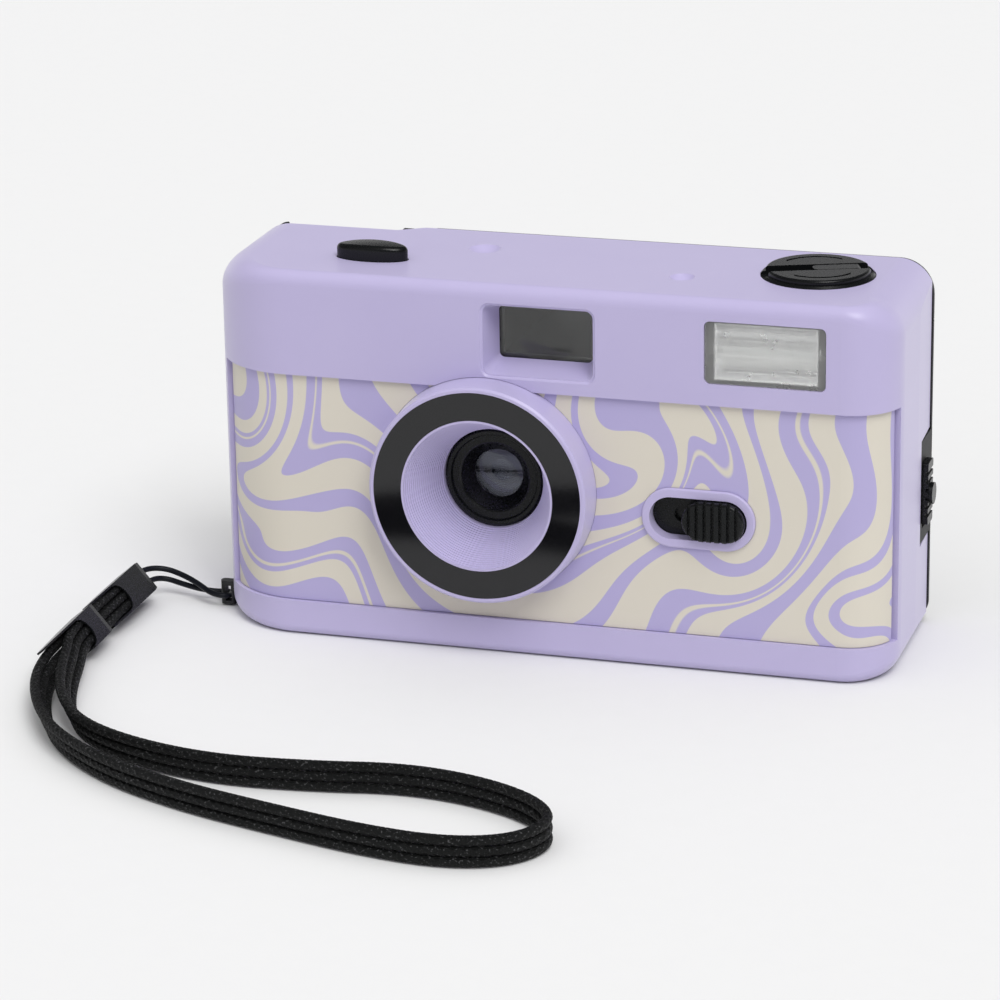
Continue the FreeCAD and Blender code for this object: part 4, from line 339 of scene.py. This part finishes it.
def braid_tree(finish):
    """Node tree that turns a curve into a braided tube."""
    tree = bpy.data.node_groups.new("braided_tube", "GeometryNodeTree")
    face = tree.interface
    face.new_socket("Geometry", in_out="INPUT", socket_type="NodeSocketGeometry")
    for label, value in (("Radius", 0.0008), ("Step", 0.0003), ("Relief", 0.00005), ("Pitch", PITCH),
                         ("Strands", STRANDS)):
        socket = face.new_socket(label, in_out="INPUT", socket_type="NodeSocketFloat")
        socket.default_value = value
    face.new_socket("Geometry", in_out="OUTPUT", socket_type="NodeSocketGeometry")
    given = tree.nodes.new("NodeGroupInput").outputs
    line = add(tree, "GeometryNodeResampleCurve", {"Curve": given["Geometry"], "Length": given["Step"]},
               mode="LENGTH")
    along = tree.nodes.new("GeometryNodeCaptureAttribute")
    along.capture_items.new("FLOAT", "Along")
    tree.links.new(line.outputs["Curve"], along.inputs["Geometry"])
    tree.links.new(tree.nodes.new("GeometryNodeSplineParameter").outputs["Length"], along.inputs["Along"])
    ring = add(tree, "GeometryNodeCurvePrimitiveCircle", {"Resolution": 20, "Radius": given["Radius"]})
    around = tree.nodes.new("GeometryNodeCaptureAttribute")
    around.capture_items.new("FLOAT", "Around")
    tree.links.new(ring.outputs["Curve"], around.inputs["Geometry"])
    share = tree.nodes.new("GeometryNodeSplineParameter").outputs["Factor"]
    tree.links.new(maths(tree, "MULTIPLY", share, 2 * math.pi), around.inputs["Around"])
    tube = add(tree, "GeometryNodeCurveToMesh", {"Curve": along.outputs["Geometry"],
                                                 "Profile Curve": around.outputs["Geometry"],
                                                 "Fill Caps": True})
    angle, way = around.outputs["Around"], along.outputs["Along"]
    turn = maths(tree, "DIVIDE", maths(tree, "MULTIPLY", way, 2 * math.pi), given["Pitch"])
    wound = maths(tree, "MULTIPLY", angle, given["Strands"])
    one = maths(tree, "SINE", maths(tree, "ADD", wound, turn))
    other = maths(tree, "SINE", maths(tree, "SUBTRACT", wound, turn))
    weave = maths(tree, "MULTIPLY", maths(tree, "MAXIMUM", one, other), given["Relief"])
    lift = add(tree, "ShaderNodeVectorMath", {0: tree.nodes.new("GeometryNodeInputNormal").outputs[0],
                                              "Scale": weave}, operation="SCALE").outputs[0]
    lifted = add(tree, "GeometryNodeSetPosition", {"Geometry": tube.outputs["Mesh"], "Offset": lift})
    mark = add(tree, "ShaderNodeCombineXYZ", {0: maths(tree, "COSINE", angle),
                                              1: maths(tree, "SINE", angle), 2: way})
    kept = add(tree, "GeometryNodeStoreNamedAttribute",
               {"Geometry": lifted.outputs["Geometry"], "Name": "weave", "Value": mark.outputs[0]},
               data_type="FLOAT_VECTOR", domain="POINT")
    smooth = add(tree, "GeometryNodeSetShadeSmooth", {"Geometry": kept.outputs["Geometry"]})
    real = add(tree, "GeometryNodeRealizeInstances", {"Geometry": smooth.outputs["Geometry"]})
    done = add(tree, "GeometryNodeSetMaterial", {"Geometry": real.outputs["Geometry"], "Material": finish})
    out = tree.nodes.new("NodeGroupOutput")
    tree.links.new(done.outputs["Geometry"], out.inputs["Geometry"])
    return tree


def run_nodes(host, tree, sizes):
    """Run a tree on an object, and give back a plain mesh object with the result."""
    modifier = host.modifiers.new("nodes", "NODES")
    modifier.node_group = tree
    for item in tree.interface.items_tree:
        if item.in_out == "INPUT" and item.name in sizes:
            modifier[item.identifier] = sizes[item.name]
    bpy.context.view_layer.update()
    drawn = host.evaluated_get(bpy.context.evaluated_depsgraph_get())
    mesh = bpy.data.meshes.new_from_object(drawn)
    host.modifiers.remove(modifier)
    return mesh


def as_piece(name, mesh):
    """An object at the origin with the given mesh."""
    mesh.name = name
    made = bpy.data.objects.new(name, mesh)
    bpy.context.collection.objects.link(made)
    return made


# %% [markdown]
# The cords are black polyester. Close up, each strand of the braid catches a little light on its
# crown. The bump gives part of it, and fine pale flecks of base colour on the crowns are painted
# glints. The attribute kept by the node tree gives the angle round the cord and the way along it,
# so the painted glints sit on the strands.

# %% Finish of the braided cord
cord_finish, cord_tree, cord_shader = new_finish("black_braid", (0.006, 0.006, 0.007), 0.6,
                                                 Specular_IOR_Level=0.22)
mark = add(cord_tree, "ShaderNodeAttribute", attribute_name="weave").outputs["Vector"]
parts = add(cord_tree, "ShaderNodeSeparateXYZ", {0: mark})
round_angle = maths(cord_tree, "ARCTAN2", parts.outputs[1], parts.outputs[0])
strand = maths(cord_tree, "MULTIPLY", round_angle, STRANDS)
turned = maths(cord_tree, "MULTIPLY", parts.outputs[2], 2 * math.pi / PITCH)
crest_a = maths(cord_tree, "SINE", maths(cord_tree, "ADD", strand, turned))
crest_b = maths(cord_tree, "SINE", maths(cord_tree, "SUBTRACT", strand, turned))
crest = maths(cord_tree, "MAXIMUM", crest_a, crest_b)
THREAD_PITCH = 0.00022
threads = maths(cord_tree, "SINE",
                maths(cord_tree, "MULTIPLY", parts.outputs[2], 2 * math.pi / THREAD_PITCH))
# Painted glints: pale base colour in noisy spots on the crests of the weave, where the light catches the
# strands.
glint_noise = speckle(cord_tree, object_place(cord_tree), 0.00035, 2.0, 0.6)
painted_glint = maths(cord_tree, "MULTIPLY", maths(cord_tree, "GREATER_THAN", glint_noise, 0.6),
              maths(cord_tree, "GREATER_THAN", crest, 0.55))
cord_tree.links.new(tint(cord_tree, maths(cord_tree, "MULTIPLY", painted_glint, 0.55, True),
                         (0.0045, 0.005, 0.005), (0.12, 0.12, 0.125)), cord_shader.inputs["Base Color"])
height = maths(cord_tree, "ADD", maths(cord_tree, "MULTIPLY", crest, 0.6),
               maths(cord_tree, "MULTIPLY", threads, 0.25))
relief(cord_tree, cord_shader, height, 0.00012, 0.9)

thin_finish, thin_tree, thin_shader = new_finish("thin_black_cord", (0.005, 0.006, 0.01), 0.45,
                                                 Specular_IOR_Level=0.25)
relief(thin_tree, thin_shader, speckle(thin_tree, object_place(thin_tree), 0.0002, 2.0), 0.00003, 0.6)

# %% The three braided cords
braid = braid_tree(cord_finish)
for k in range(3):
    route = beside(LOOP_ROUTE, (k - 1) * CORD_PITCH)
    guide = spline_through("guide", route)
    centre = line_of(guide)
    mesh = run_nodes(guide, braid, {"Radius": CORD_D / 2 * MM - 0.00004})
    bpy.data.objects.remove(guide)
    piece = as_piece(f"braided_cord_{k + 1}", mesh)
    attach(piece, "camera_body")
    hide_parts(f"strap_cord_{k + 1}")
    print(piece.name, "is", round(length_of(centre) * 1000), "mm long,", len(mesh.polygons), "faces")

# %% The thin cord through the lug
thin_guide = spline_through("thin_guide", THIN_ROUTE)
thin_line = line_of(thin_guide)
thin_guide.data.bevel_depth = THIN_D / 2 * MM
thin_guide.data.bevel_resolution = 6
thin_guide.data.use_fill_caps = True
thin_mesh = bpy.data.meshes.new_from_object(thin_guide)
bpy.data.objects.remove(thin_guide)
thin_mesh.materials.clear()
thin_mesh.materials.append(thin_finish)
thin_cord = as_piece("thin_cord", thin_mesh)
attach(thin_cord, "camera_body")
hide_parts("strap_thin_cord")
print("thin cord is", round(length_of(thin_line) * 1000, 1), "mm long")

# %% [markdown]
# The shell is one colour of matt plastic all the way through. Its mould was given a very fine
# grain, so the light breaks up softly instead of making sharp reflections. Two noises are enough:
# a fine one for the grain, and a broad faint one, because no moulding is perfectly even. A little
# sheen pales the faces that are seen at a slant, as the grain does on the real shell.

# %% Lilac shell
lilac, lilac_tree, lilac_shader = new_finish("lilac_plastic", (0.5, 0.45, 0.69), 0.36,
                                             Sheen_Weight=0.25, Sheen_Roughness=0.45)
lilac_at = object_place(lilac_tree)
broad = speckle(lilac_tree, lilac_at, 0.012, 3.0)
lilac_tree.links.new(tint(lilac_tree, broad, (0.485, 0.435, 0.68), (0.515, 0.465, 0.705)),
                     lilac_shader.inputs["Base Color"])
grain = speckle(lilac_tree, lilac_at, 0.00022, 2.0, 0.6)
lilac_tree.links.new(spread(lilac_tree, grain, 0.3, 0.42), lilac_shader.inputs["Roughness"])
relief(lilac_tree, lilac_shader, grain, 0.000025, 0.35)
dress(lilac, "front_cover", "lens_hood", "switch_bezel")

# %% [markdown]
# Black plastics come in three kinds here: polished on the ring round the lens, satin on the
# controls that fingers touch, the lens barrel and the strap's clips, and grained on the back and
# inside.

# %% Black plastics


def black_plastic(name, colour, low, high, grain_size, depth, shine=0.3):
    """Black plastic with a grain that also changes how sharp its reflections are."""
    made, tree, shader = new_finish(name, colour, low, Specular_IOR_Level=shine)
    at = object_place(tree)
    fine = speckle(tree, at, grain_size, 2.0, 0.6)
    tree.links.new(spread(tree, fine, low, high), shader.inputs["Roughness"])
    worn = speckle(tree, at, 0.009, 4.0)
    lighter = tuple(c * 1.5 + 0.001 for c in colour)
    tree.links.new(tint(tree, worn, colour, lighter), shader.inputs["Base Color"])
    relief(tree, shader, fine, depth, 0.5)
    return made


polished = black_plastic("polished_black", (0.003, 0.003, 0.004), 0.06, 0.12, 0.0006, 0.000002, 0.5)
satin = black_plastic("satin_black", (0.004, 0.0045, 0.005), 0.22, 0.34, 0.0003, 0.00001)
grained = black_plastic("grained_black", (0.007, 0.007, 0.008), 0.45, 0.62, 0.0004, 0.00004)
dress(polished, "nameplate_ring", "flash_capacitor")
dress(satin, "shutter_button", "switch_knob", "switch_plate", "rewind_knob", "rewind_crank",
      "lens_barrel", "door_latch", "thumbwheel", "strap_clip_a", "strap_clip_b")
dress(grained, "chassis", "cartridge_housing", "takeup_housing", "dark_box", "battery_tube", "rear_cover",
      "back_door", "takeup_spool", "sprocket_wheel", "viewfinder_tunnel", "battery_door",
      "rewind_release", "shutter_plate", "release_lever", "rewind_shaft")

# %% [markdown]
# Small metal pieces hide inside, but the back door opens, so they get real finishes too.

# %% Metals


def metal(name, colour, rough, brushed):
    """Metal with fine marks that stretch along X."""
    made, tree, shader = new_finish(name, colour, rough, Metallic=1.0)
    at = add(tree, "ShaderNodeMapping", {"Vector": object_place(tree), "Scale": (1.0, brushed, brushed)})
    marks = speckle(tree, at.outputs[0], 0.002, 3.0)
    tree.links.new(spread(tree, marks, rough * 0.8, rough * 1.4), shader.inputs["Roughness"])
    relief(tree, shader, marks, 0.000004, 0.4)
    return made


bright = metal("spring_steel", (0.62, 0.62, 0.63), 0.24, 12)
mirror = metal("reflector_foil", (0.93, 0.93, 0.94), 0.18, 1)
dress(bright, "blade_spring", "button_spring", "latch_spring", "pressure_spring", "release_spring",
      "rewind_clip", "battery_contact", "door_contact", "hinge_pin", "body_screws")
dress(mirror, "flash_reflector")
blackened = black_plastic("blackened_metal", (0.014, 0.014, 0.015), 0.3, 0.42, 0.0002, 0.000006)
dress(blackened, "aperture_stop", "shutter_blade", "pressure_plate", "strap_lug")

# %% [markdown]
# Clear parts. The front lens has a thin coating that shows as a faint violet cast, so its
# specular tint is coloured. The flash cap is milky because of its ribs, so its finish is much
# rougher than that of the viewfinder's panes.

# %% Clear parts
lens_glass, lens_tree, lens_shader = new_finish("lens_glass", (0.98, 0.98, 1.0), 0.02, IOR=1.52,
                                                Transmission_Weight=1.0)
smear = speckle(lens_tree, object_place(lens_tree), 0.004, 2.0)
lens_tree.links.new(spread(lens_tree, smear, 0.0, 0.04), lens_shader.inputs["Roughness"])
lens_shader.inputs["Specular Tint"].default_value = (0.75, 0.8, 1.0, 1)
clear, clear_tree, clear_shader = new_finish("clear_plastic", (0.96, 0.97, 0.97), 0.02, IOR=1.49,
                                             Transmission_Weight=1.0)
haze = speckle(clear_tree, object_place(clear_tree), 0.003, 3.0)
clear_tree.links.new(spread(clear_tree, haze, 0.01, 0.08), clear_shader.inputs["Roughness"])
dress(lens_glass, "front_lens", "rear_lens")
dress(clear, "viewfinder_window", "viewfinder_eyepiece", "flash_tube")
milky, milky_tree, milky_shader = new_finish("milky_plastic", (0.95, 0.955, 0.94), 0.3, IOR=1.49,
                                             Transmission_Weight=0.88)
clouded = speckle(milky_tree, object_place(milky_tree), 0.0025, 2.0)
milky_tree.links.new(spread(milky_tree, clouded, 0.22, 0.38), milky_shader.inputs["Roughness"])
dress(milky, "flash_window")

# %% Small parts of other materials
board, board_tree, board_shader = new_finish("green_board", (0.02, 0.14, 0.06), 0.45)
weave = speckle(board_tree, object_place(board_tree), 0.0008, 2.0)
board_tree.links.new(tint(board_tree, weave, (0.015, 0.11, 0.05), (0.03, 0.17, 0.08)),
                     board_shader.inputs["Base Color"])
dress(board, "flash_board")
lamp_finish, lamp_tree, lamp_shader = new_finish("orange_lamp", (0.8, 0.2, 0.03), 0.15,
                                                 Transmission_Weight=0.3)
cloudy = speckle(lamp_tree, object_place(lamp_tree), 0.0015, 2.0)
lamp_tree.links.new(tint(lamp_tree, cloudy, (0.75, 0.17, 0.02), (0.85, 0.26, 0.05)),
                    lamp_shader.inputs["Base Color"])
dress(lamp_finish, "ready_lamp")
foam, foam_tree, foam_shader = new_finish("black_foam", (0.012, 0.012, 0.012), 0.95)
cells = speckle(foam_tree, object_place(foam_tree), 0.0004, 3.0, 0.7)
relief(foam_tree, foam_shader, cells, 0.0002, 0.8)
dress(foam, "door_seals")
white, white_tree, white_shader = new_finish("counter_white", (0.75, 0.75, 0.72), 0.4)
aged = speckle(white_tree, object_place(white_tree), 0.003, 3.0)
white_tree.links.new(tint(white_tree, aged, (0.7, 0.7, 0.66), (0.8, 0.8, 0.78)),
                     white_shader.inputs["Base Color"])
dress(white, "frame_counter")

# %% [markdown]
# The print is the swirl of marbled paper: stripes of two colours, stirred. Stirring is a turn
# about a point that fades with distance, so each stir is a small group of nodes, and a chain of
# them bends plain stripes into swirls. The stripes start as rings round a point above the lens,
# so they stand nearly upright at the ends and lie flat below it. They are read from the stirred
# place, and a sharp step makes two flat inks. Round the corners of the body the print has to
# wrap, so the place along the strip is worked out first: straight across the front, then along
# the corner's arc.

# %% Print on the front
CREAM, INK = (0.69, 0.645, 0.555), (0.45, 0.405, 0.665)
LEFT_R, RIGHT_R = 14.5, 8.5
RINGS_CENTRE, RINGS_HEIGHT = (-4, 62, 0), 1.4
WIDE_BANDS, THIN_BANDS, THIN_SHARE = 0.85, 1.95, 0.6


def corner_angle(tree, x, depth, centre_x, radius, side):
    """Angle round a vertical corner: 0 on the front face, growing to the side."""
    across = maths(tree, "MULTIPLY", maths(tree, "SUBTRACT", x, centre_x), side)
    outward = maths(tree, "MAXIMUM", across, 0.0)
    forward = maths(tree, "SUBTRACT", radius, depth)
    return maths(tree, "ARCTAN2", outward, forward)


def along_strip(tree):
    """Millimetres along the printed strip, and height, as a flat place."""
    at = add(tree, "ShaderNodeSeparateXYZ", {0: object_place(tree)}).outputs
    x = maths(tree, "MULTIPLY", at[0], 1000.0)
    depth = maths(tree, "ADD", maths(tree, "MULTIPLY", at[1], 1000.0), BODY_DEPTH / 2)
    z = maths(tree, "MULTIPLY", at[2], 1000.0)
    left_x, right_x = -BODY_WIDTH / 2 + LEFT_R, BODY_WIDTH / 2 - RIGHT_R
    flat = maths(tree, "MINIMUM", maths(tree, "MAXIMUM", x, left_x), right_x)
    left = corner_angle(tree, x, depth, left_x, LEFT_R, -1.0)
    right = corner_angle(tree, x, depth, right_x, RIGHT_R, 1.0)
    wrapped = maths(tree, "SUBTRACT", flat, maths(tree, "MULTIPLY", left, LEFT_R))
    wrapped = maths(tree, "ADD", wrapped, maths(tree, "MULTIPLY", right, RIGHT_R))
    return add(tree, "ShaderNodeCombineXYZ", {0: wrapped, 1: z}).outputs[0]


def stir_group():
    """Node group for one stir: a turn about a centre that fades with distance."""
    tree = bpy.data.node_groups.new("stir", "ShaderNodeTree")
    for label, kind in (("Place", "NodeSocketVector"), ("Centre", "NodeSocketVector"),
                        ("Reach", "NodeSocketFloat"), ("Turn", "NodeSocketFloat")):
        tree.interface.new_socket(label, in_out="INPUT", socket_type=kind)
    tree.interface.new_socket("Place", in_out="OUTPUT", socket_type="NodeSocketVector")
    given = tree.nodes.new("NodeGroupInput").outputs
    apart = add(tree, "ShaderNodeVectorMath", {0: given["Place"], 1: given["Centre"]},
                operation="DISTANCE").outputs["Value"]
    share = maths(tree, "DIVIDE", apart, given["Reach"])
    faded = maths(tree, "EXPONENT", maths(tree, "MULTIPLY", maths(tree, "MULTIPLY", share, share), -1.0))
    turned_place = add(tree, "ShaderNodeVectorRotate",
                       {"Vector": given["Place"], "Center": given["Centre"],
                        "Angle": maths(tree, "MULTIPLY", faded, given["Turn"])},
                       rotation_type="Z_AXIS")
    out = tree.nodes.new("NodeGroupOutput")
    tree.links.new(turned_place.outputs[0], out.inputs["Place"])
    return tree


STIRS = (((-56, 34), 14, 1.9), ((-40, 30), 13, -1.2), ((-44, 10), 12, -1.4), ((15, 38), 11, -2.4),
         ((26, 20), 13, 1.3), ((40, 34), 11, -0.9), ((50, 20), 12, 0.9), ((57, 10), 8, -2.2))
print_finish, print_tree, print_shader = new_finish("marbled_print", CREAM, 0.38)
stir = stir_group()
flat_place = along_strip(print_tree)
for (cx, cz), reach, turn in STIRS:
    step = add(print_tree, "ShaderNodeGroup", node_tree=stir)
    print_tree.links.new(flat_place, step.inputs["Place"])
    step.inputs["Centre"].default_value = (cx, cz, 0)
    step.inputs["Reach"].default_value = reach
    step.inputs["Turn"].default_value = turn
    flat_place = step.outputs["Place"]
from_centre = add(print_tree, "ShaderNodeVectorMath", {0: flat_place, 1: RINGS_CENTRE},
                  operation="SUBTRACT").outputs[0]
squashed = add(print_tree, "ShaderNodeVectorMath", {0: from_centre, 1: (1, 1 / RINGS_HEIGHT, 1)},
               operation="MULTIPLY").outputs[0]
rings = add(print_tree, "ShaderNodeVectorMath", {0: squashed}, operation="LENGTH").outputs["Value"]
wide_way = maths(print_tree, "ADD", maths(print_tree, "MULTIPLY", rings, WIDE_BANDS), 3.0)
bands = maths(print_tree, "SINE", wide_way)
thin_bands = maths(print_tree, "SINE", maths(print_tree, "MULTIPLY", rings, THIN_BANDS))
inked = maths(print_tree, "ADD", bands, maths(print_tree, "MULTIPLY", thin_bands, THIN_SHARE))
ink_share = add(print_tree, "ShaderNodeMapRange", {"Value": inked, "From Min": 0.2, "From Max": 0.26})
inks = tint(print_tree, ink_share.outputs[0], CREAM, INK)
print_tree.links.new(inks, print_shader.inputs["Base Color"])
vinyl = speckle(print_tree, object_place(print_tree), 0.0004, 2.0)
print_tree.links.new(spread(print_tree, vinyl, 0.34, 0.46), print_shader.inputs["Roughness"])
relief(print_tree, print_shader, vinyl, 0.000008, 0.3)
dress(print_finish, "front_panel")
print("stirs in the print:", len(STIRS))
